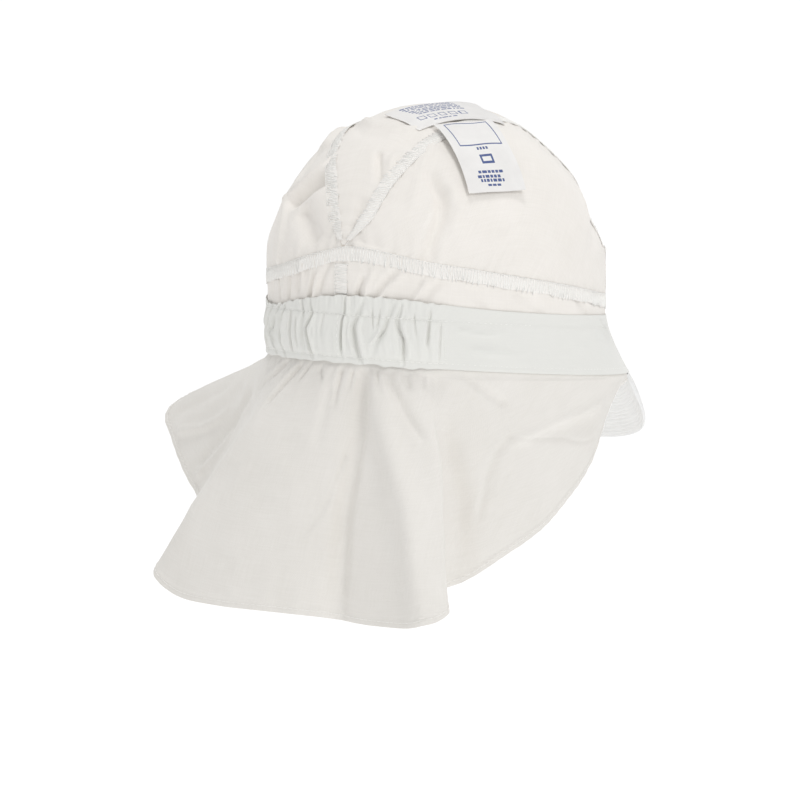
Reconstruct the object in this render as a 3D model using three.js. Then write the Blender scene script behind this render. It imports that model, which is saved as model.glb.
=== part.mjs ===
// A child's legionnaire cap in light cotton, turned inside out so that its overlocked seams show.
// Millimetres, +Z up. The peak points along -Y and the wearer's right is -X. The origin is the
// middle of the head opening, on the plane of the rim, which falls a little towards the peak.
// A "turn" is an angle in degrees round the head from the middle of the back, and it is
// positive towards the wearer's right.

import * as THREE from "three";

// The head that the cap goes round, and the shell of the crown
const HEAD_LENGTH = 174;
const HEAD_WIDTH = 150;
const WALL_TOP = 52;
const DOME_RISE = 68.3;
const RIM_FALL = 0.133;

// Cloth walls, the gap left between two sewn pieces, and the headband's gap from the wall
const CLOTH = 1.2;
const CLEARANCE = 0.3;
const BAND_GAP = 0.45;

// The seam that runs round the crown, as heights above the rim
const ROUND_SEAM_BACK = 52;
const ROUND_SEAM_FRONT = 35;

// Where the peak ends and the neck flap begins, and where the top panel reaches the round seam
const TEMPLE_TURN = 121.5;
const PANEL_FOOT_TURN = 124;

// The headband, with an elastic tunnel across the back
const BAND_FRONT_HEIGHT = 27.5;
const BAND_BACK_HEIGHT = 31;
const BAND_CREST = { turn: 9, reach: 34 };
const BAND_DIP = { turn: -36, reach: 22, depth: 4.5 };
const TUNNEL_TOP = 22;
const HEM_STITCH_HEIGHT = 2.6;
const ELASTIC = { from: -47, to: 36 };
const GATHER_PUFF = 2.4;
const RUFFLE_LEAN = 3.2;
const RIM_FLARE = { most: 11.5, turn: 130, reach: 0.55 };
const TUCK = 5;

// Overlocked seam allowances that stand on the outside
const ALLOWANCE_WIDTH = 5.5;
const ALLOWANCE_CLOTH = 1;
const ALLOWANCE_LIFT = 0.6;

// The neck flap and its doubled hem
const FLAP_LENGTH = 118;
const FLAP_ROOT_DROP = 1;
const FLAP_END_LENGTH = 3;
const HEM_WIDTH = 5;
const HEM_CLOTH = 1.8;
const HEM_STEP = 12;

// The peak
const PEAK_LENGTH = 52;
const PEAK_THICKNESS = 2.8;
const PEAK_FIRST_DROOP = 36;
const PEAK_LAST_DROOP = 64;
const PEAK_END_LENGTH = 3;

// The two woven labels. from, to: the middle of either end, seen from above, as shares of the
// head's half width to the right and of its half length to the back; lift: off the cloth there
const LABEL_CLOTH = 0.8;
const CARE_LABEL = { width: 29, from: [0.0, 0.375], to: [0.31, -0.11], lift: [0.5, 1.9], arch: 0 };
const NAME_LABEL = { width: 29, from: [0.4, 0.225], to: [0.735, 0.425], lift: [1.6, 0.8], arch: 1 };

const HALF_LENGTH = HEAD_LENGTH / 2;
const HALF_WIDTH = HEAD_WIDTH / 2;
const HALF_GAP = CLEARANCE / 2;

// The side seams of the top panel, from its point at the back to its foot at the temple.
// along: share of the way; spread: sideways angle as a share of the foot's; lean: degrees to the left
const SIDE_SEAM = [
  { along: 0.0, spread: 0.0, lean: 0 },
  { along: 0.055, spread: 0.11, lean: -1 },
  { along: 0.124, spread: 0.2, lean: 0.5 },
  { along: 0.204, spread: 0.32, lean: 2.5 },
  { along: 0.333, spread: 0.47, lean: 4 },
  { along: 0.5, spread: 0.55, lean: 3 },
  { along: 0.652, spread: 0.82, lean: 0 },
  { along: 0.82, spread: 1.0, lean: 0 },
  { along: 1.0, spread: 1.0, lean: 0 },
];

// The round seam. turn: degrees from the middle of the back; rise: share of the way from its
// height at the front to its height at the back
const ROUND_SEAM = [
  { turn: -180, rise: 0 },
  { turn: -120, rise: 0.02 },
  { turn: -56, rise: 0.17 },
  { turn: -30, rise: 0.38 },
  { turn: -14, rise: 0.7 },
  { turn: 2, rise: 1 },
  { turn: 11, rise: 0.99 },
  { turn: 30, rise: 0.76 },
  { turn: 50, rise: 0.6 },
  { turn: 81, rise: 0.35 },
  { turn: 112, rise: 0.12 },
  { turn: 180, rise: 0 },
];

// Soft dents and swellings of the crown. over: degrees over the top from the back; aside: degrees
// to the wearer's right; depth: share of the dome's rise, inwards; reach: degrees
const DENTS = [
  { over: 52, aside: -42, depth: 0.045, reach: 16 },
  { over: 28, aside: -56, depth: 0.02, reach: 12 },
  { over: 84, aside: -30, depth: 0.015, reach: 13 },
  { over: 30, aside: 24, depth: 0.022, reach: 12 },
  { over: 22, aside: -22, depth: 0.02, reach: 9 },
  { over: 122, aside: 38, depth: 0.075, reach: 24 },
  { over: 151, aside: 53, depth: 0.055, reach: 17 },
  { over: 150, aside: -20, depth: 0.025, reach: 20 },
];

// Pleats that the elastic draws into the headband. turn: where the groove is at the rim;
// slant: degrees that it moves up to the tunnel's top; depth: share of the puff; reach: degrees
const PLEATS = [
  { turn: -45, slant: 0.5, depth: 0.7, reach: 1.3 },
  { turn: -40, slant: -0.5, depth: 0.8, reach: 1.3 },
  { turn: -34, slant: 0.5, depth: 0.7, reach: 1.4 },
  { turn: -28, slant: -1, depth: 0.8, reach: 1.4 },
  { turn: -22, slant: 0.5, depth: 0.7, reach: 1.4 },
  { turn: -15, slant: -0.6, depth: 1, reach: 1.8 },
  { turn: 0.6, slant: 1.2, depth: 0.5, reach: 0.9 },
  { turn: 7.1, slant: -2.2, depth: 1, reach: 1.7 },
  { turn: 10.8, slant: 7, depth: 0.7, reach: 1.5 },
  { turn: 21.8, slant: -1.2, depth: 0.8, reach: 1.4 },
  { turn: 30.6, slant: 0.3, depth: 0.6, reach: 1.3 },
];

// The neck flap, a row for each line that falls from the rim to the hem. turn: where it leaves
// the rim; out, side and drop: where it ends, as shares of the flap's length, sideways towards
// the right; swell: how much it bows outwards on the way
const FLAP_FALLS = [
  { turn: -121.5, out: -0.000, side: 0.000, drop: 0.025, swell: 0 },
  { turn: -115, out: 0.031, side: -0.010, drop: 0.080, swell: 0 },
  { turn: -106, out: 0.132, side: -0.062, drop: 0.159, swell: 0 },
  { turn: -95, out: 0.305, side: -0.128, drop: 0.191, swell: 0 },
  { turn: -85, out: 0.452, side: -0.188, drop: 0.204, swell: 0 },
  { turn: -77, out: 0.513, side: -0.236, drop: 0.257, swell: 0 },
  { turn: -70, out: 0.498, side: -0.287, drop: 0.316, swell: 0 },
  { turn: -63, out: 0.420, side: -0.324, drop: 0.390, swell: 0 },
  { turn: -57, out: 0.328, side: -0.310, drop: 0.519, swell: 0 },
  { turn: -49, out: 0.227, side: -0.312, drop: 0.633, swell: 0 },
  { turn: -37, out: 0.195, side: -0.353, drop: 0.728, swell: 0.02 },
  { turn: -27, out: 0.263, side: -0.421, drop: 0.811, swell: 0.04 },
  { turn: -20, out: 0.354, side: -0.469, drop: 0.861, swell: 0.05 },
  { turn: -14, out: 0.342, side: -0.398, drop: 0.924, swell: 0.06 },
  { turn: -8, out: 0.304, side: -0.292, drop: 0.939, swell: 0.06 },
  { turn: -2, out: 0.249, side: -0.166, drop: 0.944, swell: 0.06 },
  { turn: 3, out: 0.188, side: -0.065, drop: 0.956, swell: 0.05 },
  { turn: 6.5, out: 0.136, side: -0.027, drop: 0.970, swell: 0.04 },
  { turn: 8.7, out: 0.186, side: 0.091, drop: 0.972, swell: 0.03 },
  { turn: 11.5, out: 0.269, side: 0.218, drop: 0.959, swell: 0.04 },
  { turn: 17, out: 0.304, side: 0.212, drop: 0.941, swell: 0.06 },
  { turn: 24, out: 0.321, side: 0.147, drop: 0.919, swell: 0.07 },
  { turn: 31, out: 0.295, side: 0.072, drop: 0.883, swell: 0.07 },
  { turn: 35.5, out: 0.181, side: -0.024, drop: 0.855, swell: 0.04 },
  { turn: 40, out: 0.061, side: -0.084, drop: 0.842, swell: 0 },
  { turn: 50, out: 0.035, side: -0.086, drop: 0.795, swell: 0.02 },
  { turn: 60, out: 0.038, side: -0.057, drop: 0.696, swell: 0.04 },
  { turn: 72, out: 0.011, side: -0.026, drop: 0.600, swell: 0.04 },
  { turn: 85, out: -0.008, side: -0.029, drop: 0.483, swell: 0.04 },
  { turn: 97, out: -0.025, side: -0.023, drop: 0.354, swell: 0.02 },
  { turn: 108, out: -0.040, side: -0.009, drop: 0.173, swell: 0 },
  { turn: 116, out: -0.027, side: 0.009, drop: 0.056, swell: 0 },
  { turn: 121.5, out: 0.000, side: 0.000, drop: 0.026, swell: 0 },
];

const radians = (degrees) => (degrees * Math.PI) / 180;
const degrees = (angle) => (angle * 180) / Math.PI;
const mix = (a, b, t) => a + (b - a) * t;
const clamp01 = (t) => Math.min(1, Math.max(0, t));
const ease = (t) => clamp01(t) ** 2 * (3 - 2 * clamp01(t));
const bell = (x) => Math.exp(-x * x);

/** Even steps from a to b, both ends included. */
function steps(a, b, count) {
  return Array.from({ length: count + 1 }, (_, i) => mix(a, b, i / count));
}

/** A smooth curve through one column of a table, read at x along its key column. */
function readTable(table, key, column, x) {
  const last = table.length - 1;
  let i = 0;
  while (i < last - 1 && x > table[i + 1][key]) {
    i += 1;
  }
  const slopeAt = (k) => {
    const before = table[Math.max(k - 1, 0)];
    const after = table[Math.min(k + 1, last)];
    return (after[column] - before[column]) / (after[key] - before[key]);
  };
  const span = table[i + 1][key] - table[i][key];
  const t = clamp01((x - table[i][key]) / span);
  const [t2, t3] = [t * t, t * t * t];
  return (
    (2 * t3 - 3 * t2 + 1) * table[i][column] +
    (t3 - 2 * t2 + t) * span * slopeAt(i) +
    (3 * t2 - 2 * t3) * table[i + 1][column] +
    (t3 - t2) * span * slopeAt(i + 1)
  );
}

// The shell of the crown: an upright oval wall that rounds over into a dome

/** How far the cloth sinks or swells at a direction from the middle of the crown. */
function dentAt(direction) {
  const over = degrees(Math.atan2(direction.z, direction.y));
  const aside = degrees(Math.asin(-direction.x / direction.length()));
  return DENTS.reduce((sum, dent) => {
    const apart = Math.hypot(over - dent.over, aside - dent.aside);
    return sum - dent.depth * DOME_RISE * bell(apart / dent.reach);
  }, 0);
}

/** The point of the shell in a direction, moved outwards by `out`. */
function shellPoint(direction, out) {
  const moved = out + dentAt(direction);
  const level = Math.hypot(direction.x, direction.y);
  if (direction.z <= 0) {
    const [x, y] = [direction.x / level, direction.y / level];
    const z = WALL_TOP + (DOME_RISE * direction.z) / level;
    return new THREE.Vector3((HALF_WIDTH + moved) * x, (HALF_LENGTH + moved) * y, z);
  }
  const unit = direction.clone().normalize();
  return new THREE.Vector3(
    (HALF_WIDTH + moved) * unit.x,
    (HALF_LENGTH + moved) * unit.y,
    WALL_TOP + (DOME_RISE + moved) * unit.z,
  );
}

const rimZ = (turn) => RIM_FALL * HALF_LENGTH * Math.cos(radians(turn));

/** The direction of the wall at a turn and a height above the rim. */
function wallDirection(turn, height) {
  const rise = (rimZ(turn) + height - WALL_TOP) / DOME_RISE;
  const level = rise > 0 ? Math.sqrt(1 - rise * rise) : 1;
  const angle = radians(turn);
  return new THREE.Vector3(-Math.sin(angle) * level, Math.cos(angle) * level, rise);
}

/** How far the rim leans outwards, most at the temples where the peak pulls it. */
function rimFlare(turn, height) {
  const apart = Math.cos(radians(turn)) - Math.cos(radians(RIM_FLARE.turn));
  return RIM_FLARE.most * bell(apart / RIM_FLARE.reach) * clamp01(1 - height / BAND_FRONT_HEIGHT);
}

function outwards(turn) {
  return new THREE.Vector3(-Math.sin(radians(turn)), Math.cos(radians(turn)), 0);
}

function sideways(turn) {
  return new THREE.Vector3(-Math.cos(radians(turn)), -Math.sin(radians(turn)), 0);
}

/** The point of the wall at a turn, a height above the rim and a distance outwards. */
function wallPoint(turn, height, out) {
  const point = shellPoint(wallDirection(turn, height), out);
  return point.addScaledVector(outwards(turn), rimFlare(turn, height));
}

/** Height of the round seam above the rim. */
function roundSeam(turn) {
  const wrapped = turn > 180 ? turn - 360 : turn;
  const rise = readTable(ROUND_SEAM, "turn", "rise", wrapped);
  return mix(ROUND_SEAM_FRONT, ROUND_SEAM_BACK, rise);
}

// Directions over the crown, as angles over the top and to the side

function overDirection(over, aside) {
  const [a, b] = [radians(over), radians(aside)];
  return new THREE.Vector3(-Math.sin(b), Math.cos(b) * Math.cos(a), Math.cos(b) * Math.sin(a));
}

/** The two angles of a direction; the one over the top runs from 0 at the back past 180. */
function anglesOf(direction) {
  const unit = direction.clone().normalize();
  const over = degrees(Math.atan2(unit.z, unit.y));
  return { over: over < -90 ? over + 360 : over, aside: degrees(Math.asin(-unit.x)) };
}

/** The direction of a side seam, moved sideways from the seam line by `shift` millimetres. */
function seamDirection(along, side, shift, raise = 0) {
  const tip = anglesOf(wallDirection(0, roundSeam(0) + raise));
  const foot = anglesOf(wallDirection(PANEL_FOOT_TURN, roundSeam(PANEL_FOOT_TURN) + raise));
  const spread = readTable(SIDE_SEAM, "along", "spread", along) * foot.aside;
  const lean = readTable(SIDE_SEAM, "along", "lean", along);
  const aside = side * (spread + degrees(shift / HALF_WIDTH)) - lean;
  return overDirection(mix(tip.over, foot.over, along), aside);
}

// Solids made from sections: each section is a row of outer points and a row of inner points

/** One closed body through the sections, capped at both ends or joined round into a ring. */
function wallSolid(sections, ring) {
  const across = sections[0].outer.length;
  const loop = 2 * across;
  const positions = [];
  for (const { outer, inner } of sections) {
    for (const point of [...outer, ...inner.toReversed()]) {
      positions.push(point.x, point.y, point.z);
    }
  }
  const indices = [];
  const quad = (a, b, c, d) => indices.push(a, b, c, a, c, d);
  const spans = ring ? sections.length : sections.length - 1;
  for (let i = 0; i < spans; i += 1) {
    const [here, next] = [i * loop, ((i + 1) % sections.length) * loop];
    for (let j = 0; j < loop; j += 1) {
      const k = (j + 1) % loop;
      quad(here + j, here + k, next + k, next + j);
    }
  }
  if (!ring) {
    const end = (sections.length - 1) * loop;
    for (let j = 0; j < across - 1; j += 1) {
      quad(j, loop - 1 - j, loop - 2 - j, j + 1);
      quad(end + j, end + j + 1, end + loop - 2 - j, end + loop - 1 - j);
    }
  }
  const geometry = new THREE.BufferGeometry();
  geometry.setAttribute("position", new THREE.Float32BufferAttribute(positions, 3));
  geometry.setIndex(signedVolume(positions, indices) < 0 ? indices.reverse() : indices);
  geometry.computeVertexNormals();
  return geometry;
}

/** The volume that the triangles close in, negative where they face inwards. */
function signedVolume(positions, indices) {
  const corner = (i) => new THREE.Vector3().fromArray(positions, 3 * indices[i]);
  let sum = 0;
  for (let i = 0; i < indices.length; i += 3) {
    sum += corner(i).dot(corner(i + 1).cross(corner(i + 2)));
  }
  return sum / 6;
}

// The crown's panels, which share their sections along the side seams

const SEAM_STEPS = steps(0.006, 0.985, 23);

/** The top panel runs from a point at the back, over the crown, down to the round seam in front. */
function topPanel() {
  const foot = (across) => wallDirection(180 - (180 - PANEL_FOOT_TURN) * across, footHeight(across));
  const footHeight = (across) =>
    roundSeam(180 - (180 - PANEL_FOOT_TURN) * across) + HALF_GAP;
  const direction = (along, across) => {
    const edge = seamDirection(along, Math.sign(across) || 1, -HALF_GAP, HALF_GAP);
    const middle = seamDirection(along, 1, -HALF_GAP, HALF_GAP);
    const edgeAngles = anglesOf(edge);
    const lean = -readTable(SIDE_SEAM, "along", "lean", along);
    const half = anglesOf(middle).aside - lean;
    return overDirection(edgeAngles.over, half * across + lean);
  };
  const sections = [...SEAM_STEPS, 1].map((along) => {
    const row = steps(1, -1, 10).map((across) => {
      const plain = direction(along, across);
      const error = foot(across).normalize().sub(direction(1, across).normalize());
      return plain.addScaledVector(error, ease((along - 0.55) / 0.45));
    });
    return {
      outer: row.map((d) => shellPoint(d, 0)),
      inner: row.map((d) => shellPoint(d, -CLOTH)),
    };
  });
  return wallSolid(sections, false);
}

/** A side panel fills the space between a side seam and the round seam. */
function sidePanel(side) {
  const sections = SEAM_STEPS.map((along) => {
    const top = seamDirection(along, side, HALF_GAP, HALF_GAP).normalize();
    const turn = side * PANEL_FOOT_TURN * along;
    const bottom = wallDirection(turn, roundSeam(turn) + HALF_GAP).normalize();
    const row = steps(0, 1, 7).map((t) => top.clone().lerp(bottom, t));
    return {
      outer: row.map((d) => shellPoint(d, 0)),
      inner: row.map((d) => shellPoint(d, -CLOTH)),
    };
  });
  return wallSolid(sections, false);
}

/** Turns round the whole head, closer together where the elastic gathers the cloth. */
function turnsRound(backSteps) {
  const [from, to] = [ELASTIC.from - 2, ELASTIC.to + 2];
  return [...steps(from, to, backSteps), ...steps(to, 360 + from, 46).slice(1, -1)];
}

/** The upright strip between the round seam and the rim. */
function baseStrip() {
  const sections = turnsRound(24).map((turn) => {
    const top = roundSeam(turn) - HALF_GAP;
    const heights = [top, mix(top, BAND_FRONT_HEIGHT, 0.5), BAND_FRONT_HEIGHT, TUCK];
    return {
      outer: heights.map((h) => wallPoint(turn, h, 0)),
      inner: heights.map((h) => wallPoint(turn, h, -CLOTH)),
    };
  });
  return wallSolid(sections, true);
}

// Seam allowances: flat strips on the outside, from the stitched edge to the free edge, which lifts

/** A section of a strip; `root` and `free` give the point at a distance off the cloth. */
function allowanceSection(root, free) {
  const [low, high] = [CLEARANCE, CLEARANCE + ALLOWANCE_CLOTH];
  return {
    outer: [root(high), free(high + ALLOWANCE_LIFT)],
    inner: [root(low), free(low + ALLOWANCE_LIFT)],
  };
}

function sideAllowance(side) {
  const sections = steps(0.016, 0.975, 34).map((along) => {
    const width = ALLOWANCE_WIDTH * mix(0.3, 1, ease(along / 0.07));
    const root = seamDirection(along, side, width / 2);
    const free = seamDirection(along, side, -width / 2);
    return allowanceSection((out) => shellPoint(root, out), (out) => shellPoint(free, out));
  });
  return wallSolid(sections, false);
}

function roundAllowance() {
  const sections = turnsRound(30).map((turn) => {
    const top = roundSeam(turn) - CLEARANCE;
    return allowanceSection(
      (out) => wallPoint(turn, top, out),
      (out) => wallPoint(turn, top - ALLOWANCE_WIDTH, out),
    );
  });
  return wallSolid(sections, true);
}

/** The short upright seam at the back, between the round seam and the headband. */
function backAllowance() {
  const half = degrees(ALLOWANCE_WIDTH / HEAD_WIDTH);
  const top = roundSeam(0) - ALLOWANCE_WIDTH - 3 * CLEARANCE;
  const sections = steps(top, BAND_BACK_HEIGHT + 2 * CLEARANCE, 6).map((height) =>
    allowanceSection(
      (out) => wallPoint(-half, height, out),
      (out) => wallPoint(half, height, out),
    ),
  );
  return wallSolid(sections, false);
}

// The labels

/** A ribbon laid over the crown, straight across its width. */
function labelRibbon({ width, from, to, lift, arch }) {
  const middle = (t, out) => {
    const [x, y] = [-mix(from[0], to[0], t), mix(from[1], to[1], t)];
    return shellPoint(new THREE.Vector3(x, y, Math.sqrt(1 - x * x - y * y)), out);
  };
  const sections = steps(0, 1, 12).map((t) => {
    const low = CLEARANCE + mix(lift[0], lift[1], t) + arch * Math.sin(Math.PI * t);
    const point = middle(t, low);
    const up = middle(t, low + 1).sub(point).normalize();
    const ahead = middle(t + 0.01, low).sub(middle(t - 0.01, low));
    const across = ahead.cross(up).normalize();
    const row = steps(-width / 2, width / 2, 2).map((w) => point.clone().addScaledVector(across, w));
    return { outer: row.map((p) => p.clone().addScaledVector(up, LABEL_CLOTH)), inner: row };
  });
  return wallSolid(sections, false);
}

// Headband, neck flap and peak

/** 1 in the gathered back of the headband and 0 in its smooth front. */
function gathered(turn) {
  return ease((turn - ELASTIC.from + 1.5) / 3) * ease((ELASTIC.to + 1.5 - turn) / 3);
}

function bandHeight(turn) {
  const crest = bell((turn - BAND_CREST.turn) / BAND_CREST.reach);
  const dip = BAND_DIP.depth * bell((turn - BAND_DIP.turn) / BAND_DIP.reach);
  return mix(BAND_FRONT_HEIGHT, BAND_BACK_HEIGHT, crest) - dip;
}

/** Share of the puff that the pleats leave at a turn and a height. */
function pleatShare(turn, height) {
  return PLEATS.reduce((share, pleat) => {
    const at = pleat.turn + pleat.slant * (height / TUNNEL_TOP);
    return share * (1 - pleat.depth * bell((turn - at) / pleat.reach));
  }, 1);
}

/** How far the headband's inner face stands off the wall behind it. */
function bandStandOff(turn, height) {
  const inTunnel = clamp01((height - HEM_STITCH_HEIGHT) / (TUNNEL_TOP - HEM_STITCH_HEIGHT));
  const puff = GATHER_PUFF * Math.sin(Math.PI * inTunnel) ** 0.6 * pleatShare(turn, height);
  const above = clamp01((height - TUNNEL_TOP) / (bandHeight(turn) - TUNNEL_TOP));
  const ruffle = RUFFLE_LEAN * above * mix(0.3, 1, pleatShare(turn, height));
  return BAND_GAP + gathered(turn) * (puff + ruffle);
}

function headband() {
  const sections = turnsRound(62).map((turn) => {
    const wrapped = turn > 180 ? turn - 360 : turn;
    const top = bandHeight(wrapped);
    const heights = [top, TUNNEL_TOP, mix(TUNNEL_TOP, HEM_STITCH_HEIGHT, 0.35)];
    heights.push(mix(TUNNEL_TOP, HEM_STITCH_HEIGHT, 0.75), HEM_STITCH_HEIGHT, 0);
    const wall = (out) => (h) => wallPoint(wrapped, h, bandStandOff(wrapped, h) + out);
    return { outer: heights.map(wall(CLOTH)), inner: heights.map(wall(0)) };
  });
  return wallSolid(sections, true);
}

/** Where the line that falls from the rim at a turn has got to, and the cloth's thickness there. */
function flapPoint(turn, share) {
  const value = (column) => readTable(FLAP_FALLS, "turn", column, turn);
  const start = wallPoint(turn, -FLAP_ROOT_DROP, -CLOTH / 2);
  const drop = Math.max(value("drop") * FLAP_LENGTH, FLAP_END_LENGTH);
  const level = outwards(turn).multiplyScalar(value("out") * FLAP_LENGTH);
  level.addScaledVector(sideways(turn), value("side") * FLAP_LENGTH);
  const bow = 2 * share * (1 - share) * value("swell");
  const point = start.addScaledVector(level, share + bow);
  point.z -= drop * (share - bow);
  return point;
}

/** Turns for the flap's sections, so that they are about evenly spaced along its hem. */
function flapTurns() {
  const turns = [FLAP_FALLS[0].turn];
  for (const { turn } of FLAP_FALLS.slice(1)) {
    const before = turns.at(-1);
    const apart = flapPoint(turn, 1).distanceTo(flapPoint(before, 1));
    turns.push(...steps(before, turn, Math.ceil(apart / HEM_STEP)).slice(1));
  }
  return turns;
}

function neckFlap() {
  const edge = TEMPLE_TURN - degrees(HALF_GAP / HALF_WIDTH);
  const hem = 1 - HEM_WIDTH / FLAP_LENGTH;
  const shares = [...steps(0, hem, 7), 1];
  const turns = flapTurns().map((turn) => Math.max(-edge, Math.min(edge, turn)));
  const normalAt = (turn, share) => {
    const [a, b] = [Math.max(share - 0.01, 0), Math.min(share + 0.01, 1)];
    const down = flapPoint(turn, b).sub(flapPoint(turn, a));
    const [c, d] = [Math.max(turn - 0.6, -edge), Math.min(turn + 0.6, edge)];
    const along = flapPoint(d, share).sub(flapPoint(c, share));
    return down.cross(along).normalize();
  };
  const sections = turns.map((turn) => {
    const faces = [-1, 1].map((face) => {
      const root = [wallPoint(turn, TUCK - CLEARANCE, (face - 1) * (CLOTH / 2))];
      const body = shares.map((share) => {
        const half = share > hem ? HEM_CLOTH / 2 : CLOTH / 2;
        const normal = share === 0 ? outwards(turn) : normalAt(turn, share);
        return flapPoint(turn, share).addScaledVector(normal, face * half);
      });
      return [...root, ...body];
    });
    return { inner: faces[0], outer: faces[1] };
  });
  return wallSolid(sections, false);
}

/** Length of the peak at a turn, rounding off towards the temples. */
function peakLength(turn) {
  const t = Math.abs(180 - turn) / (180 - TEMPLE_TURN);
  return Math.max(PEAK_LENGTH * clamp01(1 - t ** 2.6) ** 0.5, PEAK_END_LENGTH);
}

function peak() {
  const edge = TEMPLE_TURN + degrees(HALF_GAP / HALF_WIDTH);
  const sections = steps(edge, 360 - edge, 36).map((turn) => {
    const root = (out) => wallPoint(turn, TUCK - CLEARANCE, out);
    const start = wallPoint(turn, -FLAP_ROOT_DROP, -CLOTH / 2);
    const [upper, lower] = [[root(0)], [root(-CLOTH)]];
    let [point, before] = [start, 0];
    for (const share of [0, 0.12, 0.35, 0.6, 0.82, 0.95, 1]) {
      const droop = radians(mix(PEAK_FIRST_DROOP, PEAK_LAST_DROOP, (share + before) / 2));
      const step = (share - before) * peakLength(turn);
      const ahead = new THREE.Vector3(0, -Math.cos(droop), -Math.sin(droop));
      const up = new THREE.Vector3(0, -Math.sin(droop), Math.cos(droop));
      point = point.clone().addScaledVector(ahead, step);
      before = share;
      const half = share === 0 ? CLOTH / 2 : (PEAK_THICKNESS / 2) * (share === 1 ? 0.35 : 1);
      const normal = share === 0 ? outwards(turn) : up;
      upper.push(point.clone().addScaledVector(normal, half));
      lower.push(point.clone().addScaledVector(normal, -half));
    }
    return { outer: upper, inner: lower };
  });
  return wallSolid(sections, false);
}

// Scene

const cap = new THREE.Group();

function add(name, geometry, color, roughness = 0.9) {
  const material = new THREE.MeshStandardMaterial({ color, roughness, metalness: 0 });
  const mesh = new THREE.Mesh(geometry, material);
  mesh.name = name;
  cap.add(mesh);
}

add("crown_top_panel", topPanel(), "#f1eee8");
add("crown_side_panel_right", sidePanel(1), "#eeebe5");
add("crown_side_panel_left", sidePanel(-1), "#eeebe5");
add("crown_base_strip", baseStrip(), "#ebe8e2");
add("seam_allowance_right", sideAllowance(1), "#f4f3f0");
add("seam_allowance_left", sideAllowance(-1), "#f4f3f0");
add("seam_allowance_round", roundAllowance(), "#f4f3f0");
add("seam_allowance_back", backAllowance(), "#f4f3f0");
add("headband", headband(), "#e6e9e6");
add("neck_flap", neckFlap(), "#e8e5df");
add("peak", peak(), "#f3f4f4");
add("care_label", labelRibbon(CARE_LABEL), "#f7f7f6", 0.6);
add("name_label", labelRibbon(NAME_LABEL), "#f7f7f6", 0.6);

export default cap;
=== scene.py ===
import math
from functools import partial

import bpy
import numpy as np
from mathutils import Matrix, Vector, noise


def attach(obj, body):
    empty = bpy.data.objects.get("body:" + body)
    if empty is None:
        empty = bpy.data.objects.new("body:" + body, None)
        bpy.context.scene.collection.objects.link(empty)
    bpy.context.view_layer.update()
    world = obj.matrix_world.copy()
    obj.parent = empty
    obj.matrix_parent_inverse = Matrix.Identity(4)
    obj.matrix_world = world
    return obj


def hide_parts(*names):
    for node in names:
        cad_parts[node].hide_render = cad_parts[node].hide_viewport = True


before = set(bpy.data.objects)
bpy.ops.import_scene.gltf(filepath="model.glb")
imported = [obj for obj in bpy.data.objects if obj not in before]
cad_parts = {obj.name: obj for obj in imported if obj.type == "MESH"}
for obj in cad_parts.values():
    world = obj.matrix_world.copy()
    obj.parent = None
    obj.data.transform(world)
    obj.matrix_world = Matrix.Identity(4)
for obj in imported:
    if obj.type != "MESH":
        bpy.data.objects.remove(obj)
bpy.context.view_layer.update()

# Crown, top panel. One long piece of thin plain-weave cotton that runs from a point at the back,
# over the head, down to the forehead. The cap is turned inside out, so the cloth's wrong side
# shows, softly crushed, and the seams pucker it along its edges.

MM = 0.001
HALF_LENGTH = 87.0
HALF_WIDTH = 75.0
WALL_TOP = 52.0
DOME_RISE = 68.3
RIM_FALL = 0.133
SEAM_GAP = 0.15
PANEL_FOOT_TURN = 124.0
BAND_FRONT_HEIGHT = 27.5
RIM_FLARE = {"most": 11.5, "turn": 130.0, "reach": 0.55, "power": 1.5}
PUCKER_LENGTH = 6.5
PUCKER_DEPTH = 0.55
CROWN_THICKNESS = 0.6
CROWN_COLOUR = (0.9, 0.868, 0.828)

# Soft dents of the crown: degrees over the top, degrees aside, share of the rise, reach in degrees
DENTS = [
    (52, -42, 0.045, 16), (28, -56, 0.02, 12), (84, -30, 0.015, 13), (30, 24, 0.022, 12),
    (22, -22, 0.02, 9), (122, 38, 0.065, 22), (155, 54, 0.09, 19), (150, -20, 0.025, 20),
]

# The top panel's side seams: share of the way, spread and lean
SIDE_SEAM = [
    (0.0, 0.0, 0), (0.055, 0.11, -1), (0.124, 0.2, 0.5), (0.204, 0.32, 2.5), (0.333, 0.47, 4),
    (0.5, 0.55, 3), (0.652, 0.82, 0), (0.82, 1.0, 0), (1.0, 1.0, 0),
]

# The round seam: turn from the middle of the back, share of the way up from its low front
ROUND_SEAM_LOW = 35.0
ROUND_SEAM_HIGH = 52.0
ROUND_SEAM = [
    (-180, 0), (-120, 0.02), (-56, 0.17), (-30, 0.38), (-14, 0.7), (2, 1), (11, 0.99), (30, 0.76),
    (50, 0.6), (81, 0.35), (112, 0.12), (180, 0),
]


def mix(a, b, t):
    return a + (b - a) * t


def ease(t):
    t = np.clip(t, 0, 1)
    return t * t * (3 - 2 * t)


def bell(x):
    return np.exp(-np.square(x))


def unit(v):
    return v / np.linalg.norm(v, axis=-1, keepdims=True)


def read_table(rows, x, column=1):
    """A smooth curve through one column of a table, read along the first column."""
    table = np.array(rows, float)
    keys, values = table[:, 0], table[:, column]
    here = np.arange(len(keys))
    low, high = np.maximum(here - 1, 0), np.minimum(here + 1, len(keys) - 1)
    slopes = (values[high] - values[low]) / (keys[high] - keys[low])
    i = np.clip(np.searchsorted(keys, x, side="left") - 1, 0, len(keys) - 2)
    span = keys[i + 1] - keys[i]
    t = np.clip((x - keys[i]) / span, 0, 1)
    start = (2 * t**3 - 3 * t**2 + 1) * values[i] + (t**3 - 2 * t**2 + t) * span * slopes[i]
    end = (3 * t**2 - 2 * t**3) * values[i + 1] + (t**3 - t**2) * span * slopes[i + 1]
    return start + end


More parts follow.
